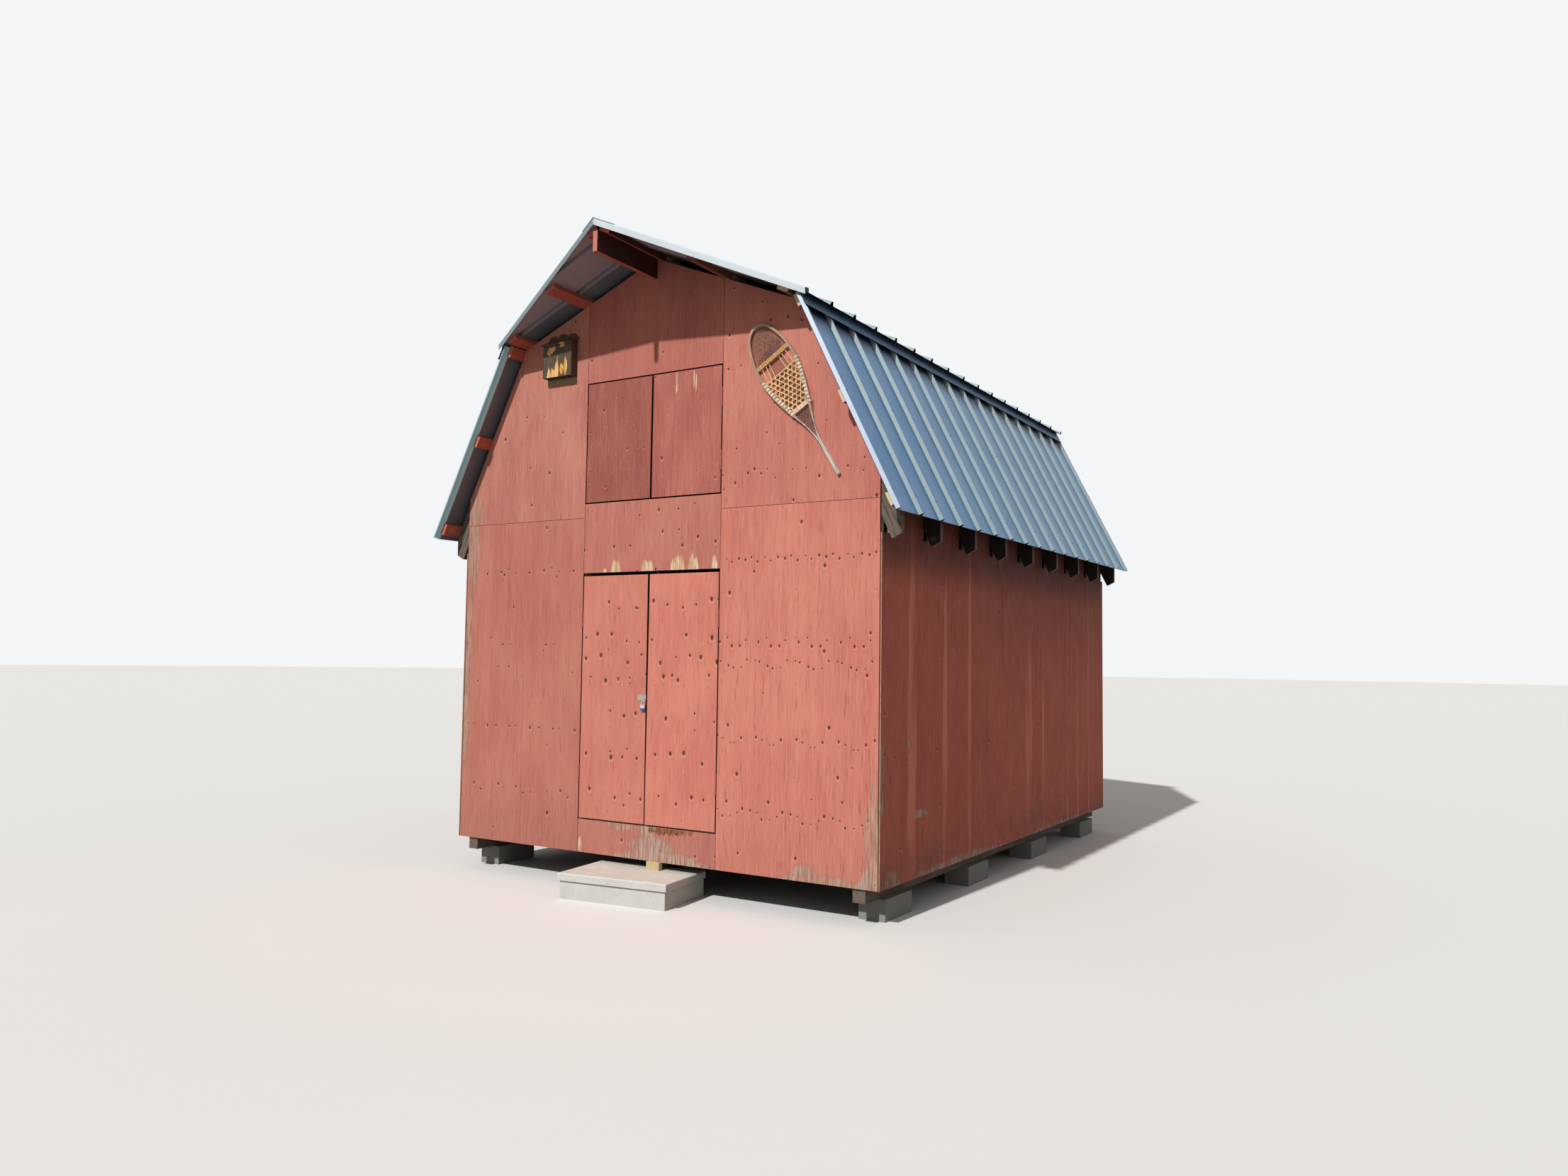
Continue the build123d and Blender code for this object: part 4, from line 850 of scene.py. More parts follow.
class BARN_OT_dress_concrete(bpy.types.Operator):
    """Give the step and the blocks their concrete"""

    bl_idname = "barn.dress_concrete"
    bl_label = "Concrete"

    def execute(self, context):
        look = context.scene.barn_metalwork
        for name, part, worn, dark in (("step_concrete", "entry_step", 1.0, 1.0),
                                       ("block_concrete", "foundation_blocks", 0.0, 0.42)):
            cast = Finish(name, specular_ior_level=0.25, roughness=0.92)
            sand, pits, patch = cast.group("cast_pits", Vector=cast.place)
            base = rgba(look.concrete, dark)
            traffic = noise(cast.place, (5, 7, 5), 4.0, 0.6).ramp(0.34, 0.56)
            tone = layered(base, (patch * 0.55, rgba(base, 0.8)),
                           (cast.facing(2).ramp(0.8, 0.97) * worn * traffic, rgba(look.tread)),
                           (sand * 0.22, rgba(base, 0.55)), (pits * 0.6, rgba(base, 0.3)))
            cast.feed(base_color=tone)
            cast.relief(sand - pits * 2.0, 0.0008)
            cast.paint(part)
        return {"FINISHED"}


# Bat box and snowshoe

class BARN_OT_dress_bat_box(bpy.types.Operator):
    """Give the bat box its brown boards and its half-worn varnish"""

    bl_idname = "barn.dress_bat_box"
    bl_label = "Bat box"

    def execute(self, context):
        look = context.scene.barn_hangings
        wood, tone, fine = sawn_timber("bat_box_wood", look.box_dark, rgba(look.box_dark, 0.6), "z", 0.7)
        x, y, z = split(wood.place)
        low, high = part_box("bat_box")
        middle = (low.x + high.x) / 2
        foot = low.z + 0.052
        front = wood.facing(1).ramp(-0.8, -0.95) * y.ramp(FRONT_Y - 0.05, FRONT_Y - 0.06)
        coarse = noise(wood.place, (46, 46, 7), 3.0)
        leaning = (x - (middle - 0.065)).scaled(-0.35, z)
        panel = blend(fine.ramp(0.35, 0.65), rgba(look.box_panel, 0.6), rgba(look.box_panel))
        gloss = blend(coarse.ramp(0.4, 0.6), rgba(look.varnish), rgba(look.varnish_pale))
        for shift, half, level, reach in (
            (-0.085, 0.020, 0.02, 0.075), (-0.045, 0.022, 0.015, 0.055), (-0.005, 0.024, 0.01, 0.10),
            (0.045, 0.018, 0.02, 0.05), (0.085, 0.020, 0.02, 0.07), (-0.062, 0.052, 0.203, 0.034),
            (0.050, 0.032, 0.200, 0.024),
        ):
            mask = wood.group("worn_patch", Across=x, Up=leaning, Ragged=coarse, Centre=middle + shift,
                              Half_Width=half, Level=foot + level, Reach=reach, Flank=3.0)[0]
            panel = blend(mask, panel, gloss)
        ledge = z.ramp(foot - 0.004, foot - 0.008)
        wood.feed(base_color=layered(tone, (front, panel), (ledge, rgba(look.ledge))))
        wood.paint("bat_box")
        return {"FINISHED"}


class BARN_OT_dress_snowshoe(bpy.types.Operator):
    """Give the snowshoe's frame and crossbars their wood"""

    bl_idname = "barn.dress_snowshoe"
    bl_label = "Snowshoe frame"

    def execute(self, context):
        look = context.scene.barn_hangings
        wood = Finish("snowshoe_wood", specular_ior_level=0.35)
        plane = {"Vector": wood.place, "Location": tuple(SHOE_ORIGIN), "Rotation": (0.0, -SHOE_LEAN, 0.0)}
        turned = node(wood.tree, "Mapping", plane, vector_type="TEXTURE")[0]
        x, y, z = split(turned)
        fine, line, rings = wood.group("wood_grain", Vector=turned)
        weathered = blend(fine.ramp(0.35, 0.6), rgba(look.stick_grey, 0.45), rgba(look.stick_grey))
        tone = layered(rgba(look.stick), (rings * 0.5, rgba(look.stick, 0.62)),
                       (z.ramp(0.50, 0.42), weathered))
        bar = blend(noise(turned, (8, 90, 90), 3.0), rgba(look.bar), rgba(look.bar, 0.6))
        for centre, edge in ((TOE_BAR, 0.132), (HEEL_BAR, 0.064)):
            near = abs(z - centre).ramp(SHOE_BAR / 2 + 0.001, SHOE_BAR / 2)
            tone = blend(abs(x).ramp(edge, edge - 0.004) * near, tone, bar)
        tone = blend(line * 0.55, tone, rgba(look.stick, 0.3))
        wood.feed(base_color=tone, roughness=fine.ramp(0.3, 0.7, 0.5, 0.8))
        wood.relief(fine, 0.0006, 0.7)
        wood.paint("snowshoe")
        return {"FINISHED"}


# Surfaces along paths

def unit(vectors):
    """Vectors of length one, in the same directions."""
    return vectors / np.maximum(np.linalg.norm(vectors, axis=-1, keepdims=True), 1e-12)


def tubes(paths, radii, sides, reference=(0.0, -1.0, 0.0)):
    """Round bodies along paths.

    paths is an array of (body, station, XYZ). At each station stands a ring of so many sides, at radius r
    across the path: centre + r (cos a * side + sin a * out), where side is the path's direction crossed
    with the reference, and out completes the three. Returns the points and the faces, ends closed.
    """
    paths = np.asarray(paths, float)
    count, stations, _ = paths.shape
    tangent = unit(np.gradient(paths, axis=1))
    side = unit(np.cross(tangent, np.broadcast_to(reference, paths.shape)))
    out = np.cross(side, tangent)
    turn = np.arange(sides) * 2 * pi / sides
    spread = np.broadcast_to(radii, paths.shape[:2])[:, :, None, None]
    ring = np.cos(turn)[:, None] * side[:, :, None] + np.sin(turn)[:, None] * out[:, :, None]
    points = (paths[:, :, None] + spread * ring).reshape(-1, 3)
    body = (np.arange(count) * stations * sides)[:, None, None]
    station = (np.arange(stations - 1) * sides)[None, :, None]
    corner = np.arange(sides)[None, None, :]
    after = (corner + 1) % sides
    quads = np.stack([body + station + corner, body + station + after,
                      body + station + sides + after, body + station + sides + corner], -1).reshape(-1, 4)
    first = (body[:, 0] + corner[0])[:, ::-1]
    last = body[:, 0] + (stations - 1) * sides + corner[0]
    return points, quads.tolist() + first.tolist() + last.tolist()


def merge(bodies):
    """Several (points, faces) as one."""
    points, faces, start = [], [], 0
    for some_points, some_faces in bodies:
        points.append(some_points)
        faces += [[start + corner for corner in face] for face in some_faces]
        start += len(some_points)
    return np.concatenate(points), faces


def squared_off(values, power):
    """A circle's sines or cosines drawn out towards an oblong's: sign v * |v| ^ power."""
    return np.sign(values) * np.abs(values) ** power


def raised_heads(places, normals, levels, radii, sides):
    """Heads that stand on a face: rings of the given radii at the given levels along each normal."""
    normals = unit(np.asarray(normals, float))
    paths = np.asarray(places, float)[:, None] + normals[:, None] * np.asarray(levels)[:, None]
    reference = np.where(np.abs(normals[:, 2:]) > 0.9, (1.0, 0.0, 0.0), (0.0, 0.0, 1.0))[:, None]
    return tubes(paths, np.asarray(radii)[None], sides, reference)


def new_piece(name, surface, finish, body, smooth=True):
    """Makes a mesh of closed surfaces, faces outward, and sets it on its body."""
    points, faces = surface
    mesh = bpy.data.meshes.new(name)
    mesh.from_pydata(points.tolist(), [], faces)
    work = bmesh.new()
    work.from_mesh(mesh)
    bmesh.ops.recalc_face_normals(work, faces=work.faces)
    work.to_mesh(mesh)
    work.free()
    mesh.polygons.foreach_set("use_smooth", np.full(len(mesh.polygons), smooth))
    mesh.materials.append(finish.material)
    piece = bpy.data.objects.new(name, mesh)
    bpy.context.scene.collection.objects.link(piece)
    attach(piece, body)


# Nails, screws and pins

NAIL_LEVELS = (-0.0004, 0.0004, 0.0010)
NAIL_RADII = (0.0046, 0.0042, 0.0018)
NAIL_STEP = 0.305


def nail_rows(columns, low, high, seed):
    """Nails in upright rows, NAIL_STEP apart with a few millimetres of drift: (across, up) pairs."""
    levels = np.arange(low + 0.04, high - 0.02, NAIL_STEP)
    grid = np.stack(np.meshgrid(columns, levels, indexing="ij"), -1).reshape(-1, 2)
    return grid + np.random.default_rng(seed).uniform(-0.006, 0.006, grid.shape)


def on_wall(rows, axis, plane, sign):
    """Places (across, up) on a wall that looks along axis 0 or 1, as points and normals."""
    points = np.insert(rows, axis, plane, axis=1)
    normals = np.zeros_like(points)
    normals[:, axis] = sign
    return points, normals


class BARN_OT_add_siding_nails(bpy.types.Operator):
    """Drive the nails that hold the plywood, along the studs behind it"""

    bl_idname = "barn.add_siding_nails"
    bl_label = "Siding nails"

    def execute(self, context):
        painted = rgba(context.scene.barn_paint.red, 0.7, 0.6, 0.62)
        nail = aged_plate("painted_nail", painted, context.scene.barn_metalwork.rust, 0.55, 0.0)
        edge, sheet_stud = WALL_X - 0.02, 2 * STUD_STEP
        over = SHEET_TOP_Z + 0.01
        columns = (-edge, -sheet_stud, -SEAM_STUD_X, SEAM_STUD_X, sheet_stud, edge)
        front = nail_rows(columns, FOOT_Z, SHEET_TOP_Z, 1)
        gable = np.concatenate([nail_rows((-1.62, 1.62), over, 3.1, 2),
                                nail_rows((-sheet_stud, -0.65, 0.65, sheet_stud), over, 3.95, 3)])
        for name, margin in (("bat_box", 0.01), ("snowshoe", 0.0)):
            low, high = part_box(name)
            across, up = gable.T
            hidden = (across > low.x - margin) & (across < high.x + margin) & (up > low.z - margin)
            gable = gable[~hidden]
        back = np.concatenate([nail_rows((*columns[:3], 0.0, *columns[3:]), FOOT_Z, SHEET_TOP_Z, 4),
                               nail_rows(columns[1:5], over, 3.95, 5)])
        stud_ys = np.array([FRONT_Y + STUD_STEP * k for k in range(1, 8)] + [FRONT_Y + 0.04, BACK_Y - 0.04])
        side = nail_rows(stud_ys, FOOT_Z, SHEET_TOP_Z - 0.26, 6)
        walls = (on_wall(np.concatenate([front, gable]), 1, FRONT_Y, -1.0), on_wall(back, 1, BACK_Y, 1.0),
                 on_wall(side, 0, -SIDE_X, -1.0), on_wall(side, 0, SIDE_X, 1.0))
        heads = raised_heads(*map(np.concatenate, zip(*walls)), NAIL_LEVELS, NAIL_RADII, 8)
        new_piece("siding_nails", heads, nail, "shed")
        for side, sign in (("left", -1), ("right", 1)):
            low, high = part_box("lower_door_" + side)
            rows = nail_rows([sign * x for x in (0.075, 0.33, 0.53)], low.z + 0.02, high.z, 7 + sign)
            heads = raised_heads(*on_wall(rows, 1, FRONT_Y, -1.0), NAIL_LEVELS, NAIL_RADII, 8)
            new_piece("door_nails_" + side, heads, nail, "door_" + side)
        return {"FINISHED"}


class BARN_OT_add_roof_screws(bpy.types.Operator):
    """Set hexagon screws with washers on the ribs: one row on each upper slope and two on each lower slope"""

    bl_idname = "barn.add_roof_screws"
    bl_label = "Roof screws"

    def execute(self, context):
        look = context.scene.barn_roof
        rib_ys = np.linspace(RIB_FIRST_Y, RIB_LAST_Y, RIB_PITCHES + 1)
        prow_ys = np.concatenate([[rib_ys[0] - (rib_ys[1] - rib_ys[0])], rib_ys])
        places, normals = [], []
        for ys, top, pitch, start in ((prow_ys, (0.0, SKIN_APEX_Z), UPPER_PITCH, 0.66),
                                      (rib_ys, SKIN_KNEE, LOWER_PITCH, 0.81),
                                      (rib_ys, SKIN_KNEE, LOWER_PITCH, 1.53)):
            normal = np.array((sin(pitch), 0.0, cos(pitch)))
            x, z = top[0] + start * cos(pitch), top[1] - start * sin(pitch)
            kept = ys[ys > RIDGE_FRONT_Y + PROW_SLOPE * x + 0.07] if pitch == UPPER_PITCH else ys
            base = np.stack([np.full(len(kept), x), kept, np.full(len(kept), z)], -1) + RIB_CROWN * normal
            for sign in (1.0, -1.0):
                places.append(base * (sign, 1.0, 1.0))
                normals.append(np.tile(normal * (sign, 1.0, 1.0), (len(kept), 1)))
        places, normals = np.concatenate(places), np.concatenate(normals)
        taper = np.array((1.0, 1.0, 0.8))
        washers = raised_heads(places, normals, (-0.0003, 0.0012, 0.0019), look.washer_radius * taper, 12)
        heads = raised_heads(places, normals, (0.0012, 0.0050, 0.0058), look.head_radius * taper, 6)
        zinc = aged_plate("screw_zinc", look.screw, context.scene.barn_metalwork.rust, 0.3)
        new_piece("roof_screws", merge([washers, heads]), zinc, "shed", smooth=False)
        return {"FINISHED"}


class BARN_OT_add_pin_heads(bpy.types.Operator):
    """Round off the hinges' pins above and below their barrels"""

    bl_idname = "barn.add_pin_heads"
    bl_label = "Hinge pin heads"

    def execute(self, context):
        axis_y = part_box("jamb_hinge_leaves")[0].y + 0.006
        places = [(x, axis_y, FOOT_Z + level + sign * PIN_HALF)
                  for level in HINGE_LEVELS for x in (-HINGE_X, HINGE_X) for sign in (-1.0, 1.0)]
        normals = np.tile([(0.0, 0.0, -1.0), (0.0, 0.0, 1.0)], (len(places) // 2, 1))
        dome = np.linspace(-0.05, 1.4, 5)
        heads = raised_heads(places, normals, 0.0045 * np.sin(dome), 0.0048 * np.cos(dome), 12)
        painted = rgba(context.scene.barn_paint.red, 0.62, 0.5, 0.55)
        pin = aged_plate("pin_head", painted, context.scene.barn_metalwork.rust, 0.6, 0.1)
        new_piece("hinge_pin_heads", heads, pin, "shed")
        return {"FINISHED"}


class BARN_OT_add_bumper(bpy.types.Operator):
    """Wrap the padlock's foot in its soft rim"""

    bl_idname = "barn.add_bumper"
    bl_label = "Padlock bumper"

    def execute(self, context):
        look = context.scene.barn_metalwork
        rubber = Finish("blue_bumper", roughness=0.5)
        scuff = noise(rubber.place, 180, 3.0).ramp(0.45, 0.7)
        rubber.feed(base_color=blend(scuff * 0.5, rgba(look.bumper), rgba(look.bumper_worn)))
        rubber.relief(scuff, 0.0002, 0.5)
        low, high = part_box("padlock")
        centre = np.array(((low.x + high.x) / 2, (low.y + high.y) / 2))
        half = np.array(((high.x - low.x) / 2, (high.y - low.y) / 2)) + 0.0011
        # A rounded oblong |x/a|^4 + |y/b|^4 = 1, drawn in at its foot and at its upper edge
        corners = 32
        turn = np.arange(corners) * 2 * pi / corners
        oblong = squared_off(np.stack([np.cos(turn), np.sin(turn)], -1), 0.45)
        levels = low.z + np.array((-0.0009, -0.0006, 0.0012, 0.0125, 0.0138, 0.0142))
        draw_in = np.array((0.0022, 0.0006, 0.0, 0.0, 0.0005, 0.0016))
        rings = centre + oblong[None] * (half[None] - draw_in[:, None])[:, None]
        heights = np.broadcast_to(levels[:, None, None], (len(levels), corners, 1))
        points = np.concatenate([rings, heights], -1).reshape(-1, 3)
        index = np.arange(len(points)).reshape(-1, corners)
        after = np.roll(index, -1, axis=1)
        quads = np.stack([index[:-1], after[:-1], after[1:], index[1:]], -1).reshape(-1, 4)
        faces = quads.tolist() + [index[0][::-1].tolist(), index[-1].tolist()]
        new_piece("padlock_bumper", (points, faces), rubber, "door_left")
        return {"FINISHED"}


# Torn wood

class BARN_OT_add_torn_fibres(bpy.types.Operator):
    """Fray the plywood just under the doors, where its face has torn"""

    bl_idname = "barn.add_torn_fibres"
    bl_label = "Torn fibres"

    def execute(self, context):
        fibre = Finish("torn_fibre", specular_ior_level=0.2, roughness=0.85)
        tint = noise(fibre.place, (150, 60, 20)).ramp(0.35, 0.65)
        fibre.feed(base_color=blend(tint, (0.10, 0.04, 0.015, 1.0), (0.52, 0.24, 0.075, 1.0)))
        rng = np.random.default_rng(12)
        count = 170
        # Slivers that start on the strip's face and lean up to its torn edge
        root_x = 0.035 + 0.41 * rng.beta(1.1, 1.4, count)
        top_z = SILL_Z - 0.0125 + rng.uniform(-0.004, 0.003, count)
        length = rng.uniform(0.020, 0.058, count) * (1.15 - root_x)
        lean = rng.normal(0.0, 0.45, count)
        start = np.stack([root_x, np.full(count, FRONT_Y + 0.0006), top_z - length], -1)
        end = np.stack([root_x + lean * length, FRONT_Y - rng.uniform(0.0006, 0.0035, count), top_z], -1)
        share = np.linspace(0, 1, 4)[None, :, None]
        paths = start[:, None] * (1 - share) + end[:, None] * share
        paths[:, 1:3, 1] -= 0.0008
        radii = rng.uniform(0.0009, 0.0019, count)[:, None] * np.array((0.25, 1.0, 0.8, 0.2))
        new_piece("torn_fibres", tubes(paths, radii, 4), fibre, "shed", smooth=False)
        return {"FINISHED"}


# Snowshoe lacing

def smooth_curve(points, first, last, samples=160):
    """Cubic runs through the points, each point's slope set by its neighbours, ends as given.

    With h the run's length and u from 0 to 1 in it: (2u3 - 3u2 + 1) p0 + (u3 - 2u2 + u) h m0
    + (3u2 - 2u3) p1 + (u3 - u2) h m1.
    """
    chord = np.concatenate([[0], np.cumsum(np.linalg.norm(np.diff(points, axis=0), axis=1))])
    slopes = np.empty_like(points)
    slopes[1:-1] = (points[2:] - points[:-2]) / (chord[2:] - chord[:-2])[:, None]
    slopes[0], slopes[-1] = unit(np.array(first, float)), unit(np.array(last, float))
    at = np.linspace(0, chord[-1], samples)
    run = np.clip(np.searchsorted(chord, at, side="right") - 1, 0, len(points) - 2)
    h = (chord[run + 1] - chord[run])[:, None]
    u = ((at - chord[run])[:, None]) / h
    return ((2 * u**3 - 3 * u**2 + 1) * points[run] + (u**3 - 2 * u**2 + u) * h * slopes[run]
            + (3 * u**2 - 2 * u**3) * points[run + 1] + (u**3 - u**2) * h * slopes[run + 1])


def half_width_at(curve, reach):
    """The curve's distance from the middle at a reach along the shoe."""
    rising = np.maximum.accumulate(curve[:, 1])
    return np.interp(reach, rising, curve[:, 0], left=0.0, right=0.0)


def on_shoe(side, reach, lift):
    """Places on the snowshoe: across, along from the tail, and out from the wall."""
    side, reach, lift = np.broadcast_arrays(side, reach, lift)
    flat = SHOE_ORIGIN + side[..., None] * SHOE_ACROSS + reach[..., None] * SHOE_ALONG
    return flat - lift[..., None] * np.array((0.0, 1.0, 0.0))


def woven(curve, low, high, gap, angle, phase, margin, overrun, swing, stations, jitter, seed):
    """Parallel strands at one angle that fill the frame between two reaches.

    A strand's line is middle + k gap n + s d. It is kept where it lies within the frame's half width less
    the margin, made longer by the overrun at both ends, and swings out and in by the swing as it crosses
    the others.
    """
    rng = np.random.default_rng(seed)
    direction = np.array((cos(angle), sin(angle)))
    across = np.array((-sin(angle), cos(angle)))
    middle = np.array((0.0, (low + high) / 2))
    number = int(0.6 / gap)
    rank = np.arange(-number, number + 1)
    s = np.linspace(-0.6, 0.6, 1201)
    offset = (rank + 0.5) * gap + rng.normal(0, jitter, len(rank))
    lines = middle + offset[:, None, None] * across + s[None, :, None] * direction
    room = half_width_at(curve, lines[..., 1]) - margin
    inside = (np.abs(lines[..., 0]) < room) & (lines[..., 1] > low) & (lines[..., 1] < high)
    kept = inside.sum(axis=1) * (s[1] - s[0]) > 0.6 * gap
    inside, offset, rank = inside[kept], offset[kept], rank[kept]
    start = s[np.argmax(inside, axis=1)] - overrun
    end = s[len(s) - 1 - np.argmax(inside[:, ::-1], axis=1)] + overrun
    at = start[:, None] + (end - start)[:, None] * np.linspace(0, 1, stations)
    bend = rng.normal(0, jitter, len(rank))[:, None] * np.sin(np.linspace(0, pi, stations))
    points = middle + (offset[:, None] + bend)[..., None] * across + at[..., None] * direction
    lift = SHOE_THICKNESS / 2 + swing * np.cos(2 * pi * at / (2 * gap / 0.866) + phase + pi * rank[:, None])
    return on_shoe(points[..., 0], points[..., 1], lift)


def bar_turns(curve, bar, count, radius, seed):
    """Turns over a crossbar's front face, at even steps with a little slant."""
    width = half_width_at(curve, bar) - 0.010
    rng = np.random.default_rng(seed)
    side = np.linspace(-width, width, count) + rng.normal(0, 0.0015, count)
    turn = np.linspace(-0.28 * pi, 1.28 * pi, 17)
    along_bar = squared_off(np.cos(turn), 0.4)
    out = np.maximum(squared_off(np.sin(turn), 0.4), -0.8)
    slant = rng.uniform(-0.006, 0.006, count)
    paths = on_shoe(side[:, None] + slant[:, None] * along_bar, bar + (SHOE_BAR / 2 + 0.0006) * along_bar,
                    SHOE_THICKNESS / 2 + (SHOE_THICKNESS / 2 + 0.0006) * out[None])
    return tubes(paths, radius, 6, SHOE_ACROSS)


def hide_finish(name, colour, roughness):
    """Twisted rawhide: pale and dark stretches, and a waxy gloss."""
    hide = Finish(name, specular_ior_level=0.45)
    stretch = noise(hide.place, 24, 3.0, 0.6).ramp(0.32, 0.55)
    fibre = noise(hide.place, 420)
    tone = layered(rgba(colour, 0.6), (stretch, rgba(colour)), (fibre * 0.25, rgba(colour, 0.5)))
    hide.feed(base_color=tone, roughness=fibre.ramp(0.3, 0.7, roughness, roughness + 0.2))
    hide.relief(fibre, 0.0004, 0.6)
    return hide


def thick_strands(look, inside):
    """Three sets of strands 60 degrees apart, a double rope under the toe hole, and cords to the toe bar."""
    sets = [
        woven(inside, HEEL_BAR + SHOE_BAR / 2, TOE_ROPE, look.mesh_gap, radians(degrees), phase, -0.004,
              0.004, 0.4 * look.strand, 40, 0.0012, seed)
        for degrees, phase, seed in ((0, 0.0, 31), (60, 2.1, 32), (120, 4.2, 33))
    ]
    # The rope's two strands turn round each other
    width = half_width_at(inside, TOE_ROPE) + 0.006
    side = np.linspace(-width, width, 90)
    turns = 2 * pi * side / 0.030
    rope = np.stack([
        on_shoe(side, TOE_ROPE + 0.0026 * np.cos(turns + k * pi),
                SHOE_THICKNESS / 2 + 0.0026 * np.sin(turns + k * pi))
        for k in (0, 1)
    ])
    # Three cords stand each side of the toe hole
    share = np.linspace(0, 1, 12)
    foot = np.array((-0.112, -0.082, -0.050, 0.050, 0.082, 0.112))[:, None]
    head = np.array((-0.105, -0.070, -0.044, 0.044, 0.070, 0.105))[:, None]
    cords = on_shoe(foot + (head - foot) * share, TOE_ROPE + (TOE_BAR - 0.008 - TOE_ROPE) * share,
                    SHOE_THICKNESS / 2 + 0.0015 * np.sin(pi * share))
    bodies = [tubes(paths, look.strand / 2, 6) for paths in sets]
    return merge(bodies + [tubes(rope, 0.0028, 6), tubes(cords, 0.0026, 6)])


def thin_strands(look, inside):
    """Thin lacing at toe and heel, the zigzag that ties it to the frame, and turns over the toe bar."""
    bodies = []
    for low, high, margin, seed in ((TOE_BAR + 0.012, 1.222, 0.030, 51),
                                    (0.33, HEEL_BAR - 0.012, 0.006, 61)):
        for degrees, phase in ((4, 0.0), (60, 2.1), (120, 4.2)):
            paths = woven(inside, low, high, look.thin_gap, radians(degrees), phase, margin, 0.002,
                          0.5 * look.thin_strand, 26, 0.0016, seed + degrees)
            bodies.append(tubes(paths, look.thin_strand / 2, 5))
        reach = np.linspace(low, high - 0.012, 41)
        step = np.where(np.arange(41) % 2 == 0, 0.004, -margin)
        for sign in (-1, 1):
            zigzag = on_shoe(sign * (half_width_at(inside, reach) + step), reach, SHOE_THICKNESS / 2)
            bodies.append(tubes(zigzag[None], 0.45 * look.thin_strand, 5))
    return merge(bodies + [bar_turns(inside, TOE_BAR, 15, 0.0016, 3)])


def pale_turns(inside, outside):
    """Turns over the frame's sticks beside the thick lacing, and over the heel bar."""
    reach = np.linspace(HEEL_BAR + SHOE_BAR / 2 - 0.02, TOE_ROPE + 0.012, 13)
    reach = (reach[:, None] + np.array((-0.0052, 0.0, 0.0052))).ravel()
    inner, outer = half_width_at(inside, reach), half_width_at(outside, reach)
    slope = np.gradient(outer, reach)
    direction = unit(np.stack([slope, np.ones_like(slope)], -1))
    middle = (inner + outer) / 2
    half = (outer - inner) / 2 * direction[:, 1] + 0.0008
    turn = np.linspace(-0.28 * pi, 1.28 * pi, 19)
    beside = half[:, None] * squared_off(np.cos(turn), 0.4)
    out = np.maximum(squared_off(np.sin(turn), 0.4), -0.8)
    lift = SHOE_THICKNESS / 2 + (SHOE_THICKNESS / 2 + 0.0008) * out
    bodies = []
    for sign in (-1, 1):
        paths = on_shoe(sign * (middle[:, None] + beside * direction[:, 1:]),
                        reach[:, None] - beside * direction[:, :1], lift[None])
        axis = on_shoe(sign * direction[:, 0], direction[:, 1], 0.0) - SHOE_ORIGIN
        bodies.append(tubes(paths, 0.0031, 6, axis[:, None]))
    return merge(bodies + [bar_turns(inside, HEEL_BAR, 14, 0.0026, 1)])


class BARN_OT_add_lacing(bpy.types.Operator):
    """Lace the snowshoe: thick rawhide underfoot, thin lacing at toe and heel, turns round the frame"""

    bl_idname = "barn.add_lacing"
    bl_label = "Snowshoe lacing"

    def execute(self, context):
        look = context.scene.barn_hangings
        inside = smooth_curve(SHOE_INSIDE, (0.065, 0.257), (-1, 0))
        outside = smooth_curve(SHOE_OUTSIDE, (0, 1), (-1, 0))
        for name, surface, finish in (
            ("thick_lacing", thick_strands(look, inside), hide_finish("rawhide", look.rawhide, 0.42)),
            ("thin_lacing", thin_strands(look, inside), hide_finish("dark_lace", look.thin_lace, 0.6)),
            ("frame_wraps", pale_turns(inside, outside), hide_finish("pale_hide", look.wrap, 0.5)),
        ):
            new_piece(name, surface, finish, "shed")
        return {"FINISHED"}


# Stage

def shown(tree, *kinds):
    """1 where the camera, or a surface that shows its surroundings, looks; 0 for the light."""
    rays = tree.nodes.new("ShaderNodeLightPath").outputs
    seen = Wire(rays["Is Camera Ray"])
    for kind in kinds:
        seen = seen.math("MAXIMUM", Wire(rays[kind]))
    return seen


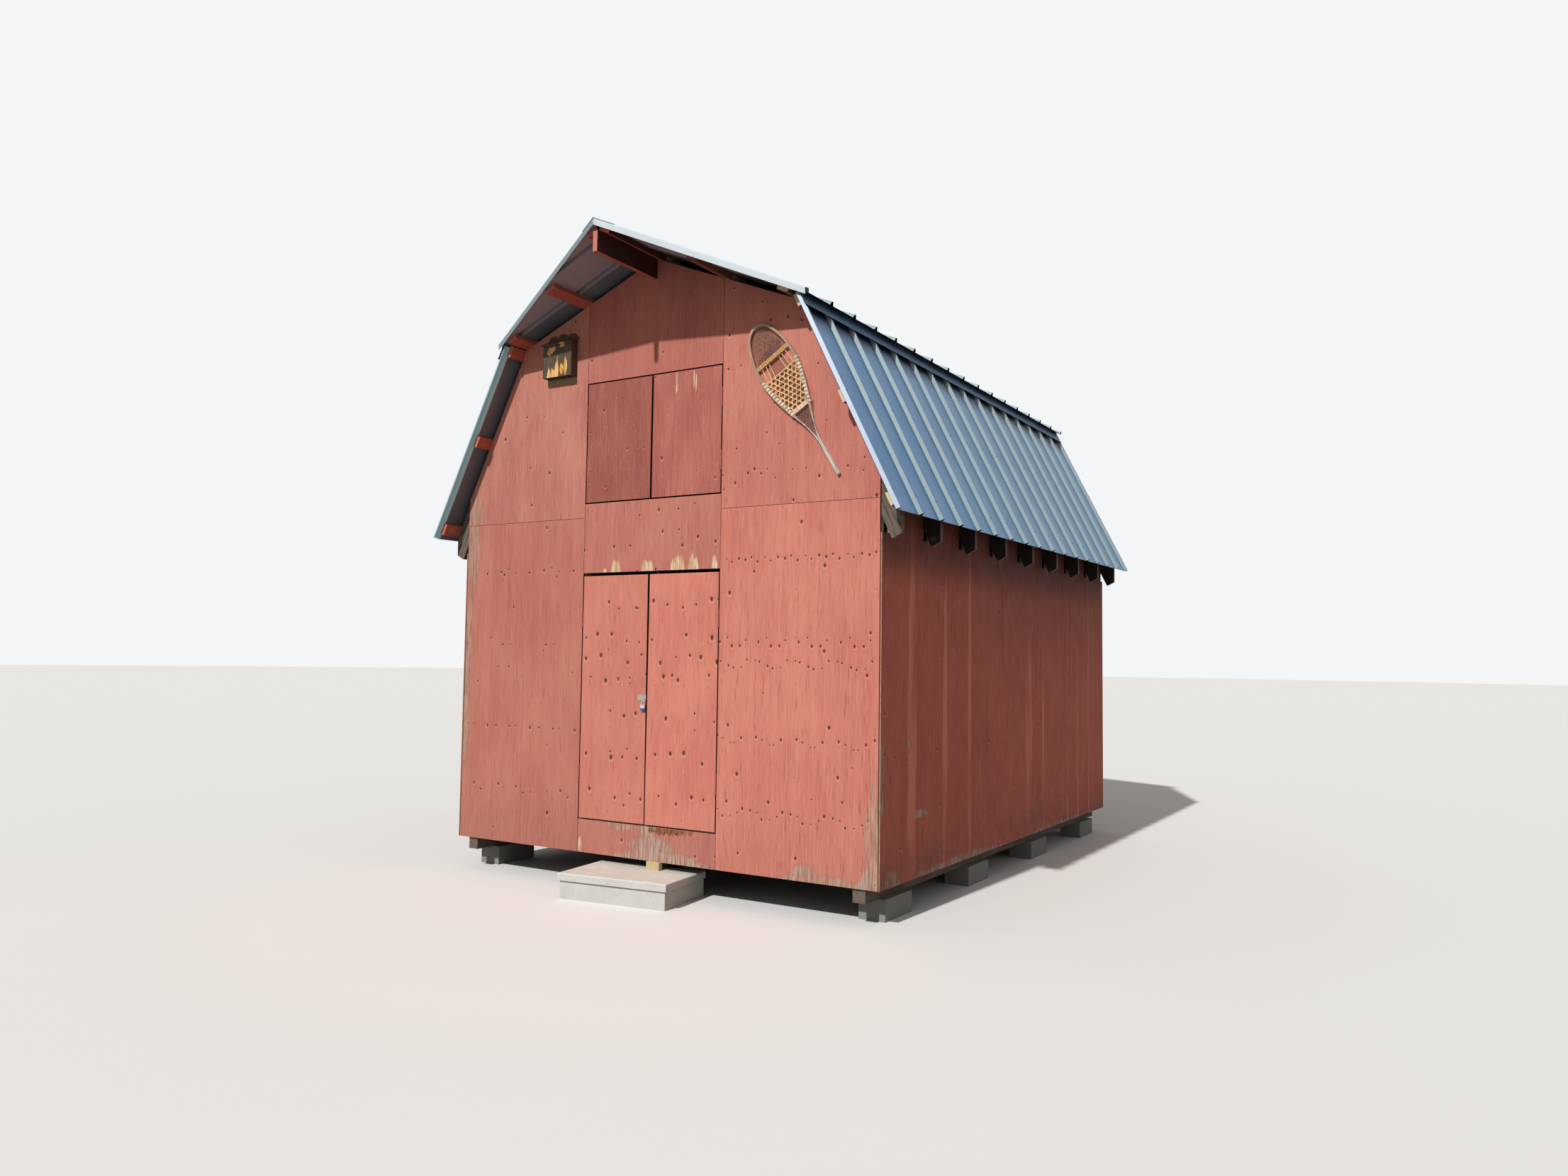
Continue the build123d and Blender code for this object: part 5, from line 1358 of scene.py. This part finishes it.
class BARN_OT_set_stage(bpy.types.Operator):
    """Set the camera, the lamps, the world and the floor"""

    bl_idname = "barn.set_stage"
    bl_label = "Stage"

    def execute(self, context):
        look = context.scene.barn_stage
        scene = context.scene
        sight = Vector((-sin(look.yaw) * cos(look.pitch), cos(look.yaw) * cos(look.pitch), sin(look.pitch)))
        level = Vector((cos(look.yaw), sin(look.yaw), 0.0))
        upright = level.cross(sight)
        right = cos(look.roll) * level + sin(look.roll) * upright
        up = cos(look.roll) * upright - sin(look.roll) * level
        data = bpy.data.cameras.new("camera")
        data.sensor_fit = "HORIZONTAL"
        data.sensor_width = 36.0
        data.lens = look.lens
        data.clip_end = 500.0
        camera = bpy.data.objects.new("camera", data)
        turned = Matrix((right, up, -sight)).transposed().to_4x4()
        camera.matrix_world = Matrix.Translation(look.camera_place) @ turned
        scene.collection.objects.link(camera)
        scene.camera = camera

        data = bpy.data.lights.new("key", "SUN")
        data.energy = look.key_strength
        data.angle = look.key_softness
        data.color = (1.0, 0.985, 0.96)
        key = bpy.data.objects.new("key", data)
        key.rotation_euler = Vector(look.key_direction).to_track_quat("-Z", "Y").to_euler()
        scene.collection.objects.link(key)

        world = bpy.data.worlds.new("studio")
        scene.world = world
        world.use_nodes = True
        tree = world.node_tree
        tree.nodes.clear()
        seen = shown(tree, "Is Glossy Ray", "Is Transmission Ray")
        tint = blend(seen, (1.0, 0.96, 0.93, 1.0), (0.90, 0.915, 0.93, 1.0))
        background = node(tree, "Background", (tint, seen.ramp(0.0, 1.0, look.ambient, 1.0)))[0]
        put(tree.nodes.new("ShaderNodeOutputWorld").inputs[0], background)

        turn = np.arange(look.floor_sides) * 2 * pi / look.floor_sides
        rim = look.floor_radius * np.stack([np.cos(turn), np.sin(turn), 0 * turn], -1)
        mesh = bpy.data.meshes.new("floor")
        mesh.from_pydata(rim.tolist(), [], [list(range(look.floor_sides))])
        pale = Finish("floor_pale", roughness=0.9, specular_ior_level=0.1)
        soft = noise(pale.place, 0.7, 3.0) * 0.06
        surface = blend(soft, rgba(look.floor_colour), (0.7, 0.7, 0.7, 1.0))
        pale.feed(base_color=blend(shown(pale.tree, "Is Glossy Ray"), rgba(look.floor_bounce), surface))
        mesh.materials.append(pale.material)
        floor = bpy.data.objects.new("floor", mesh)
        scene.collection.objects.link(floor)
        scene.view_settings.view_transform = "Standard"
        return {"FINISHED"}


# The add-on

SETTINGS = (
    ("barn_paint", BarnPaint), ("barn_timber", BarnTimber), ("barn_roof", BarnRoof),
    ("barn_metalwork", BarnMetalwork), ("barn_hangings", BarnHangings), ("barn_stage", BarnStage),
)
OPERATORS = (
    BARN_OT_dress_walls, BARN_OT_dress_timber, BARN_OT_dress_roof, BARN_OT_dress_metalwork,
    BARN_OT_dress_concrete, BARN_OT_dress_bat_box, BARN_OT_dress_snowshoe, BARN_OT_add_siding_nails,
    BARN_OT_add_roof_screws, BARN_OT_add_pin_heads, BARN_OT_add_bumper, BARN_OT_add_torn_fibres,
    BARN_OT_add_lacing, BARN_OT_set_stage,
)


class BARN_PT_sidebar(bpy.types.Panel):
    """Lists the steps that dress the shed"""

    bl_label = "Barn Shed"
    bl_space_type = "VIEW_3D"
    bl_region_type = "UI"
    bl_category = "Barn Shed"

    def draw(self, context):
        for operator in OPERATORS:
            self.layout.operator(operator.bl_idname)
        for name, group in SETTINGS:
            box = self.layout.box()
            for setting in group.__annotations__:
                box.prop(getattr(context.scene, name), setting)


def register():
    for name, group in SETTINGS:
        bpy.utils.register_class(group)
        setattr(bpy.types.Scene, name, PointerProperty(type=group))
    for operator in OPERATORS:
        bpy.utils.register_class(operator)
    bpy.utils.register_class(BARN_PT_sidebar)


def unregister():
    bpy.utils.unregister_class(BARN_PT_sidebar)
    for operator in reversed(OPERATORS):
        bpy.utils.unregister_class(operator)
    for name, group in reversed(SETTINGS):
        delattr(bpy.types.Scene, name)
        bpy.utils.unregister_class(group)


def main():
    """Registers the add-on, builds the shader groups and runs its steps in order."""
    register()
    build_groups()
    for operator in OPERATORS:
        family, step = operator.bl_idname.split(".")
        getattr(getattr(bpy.ops, family), step)()


if __name__ == "__main__":
    main()
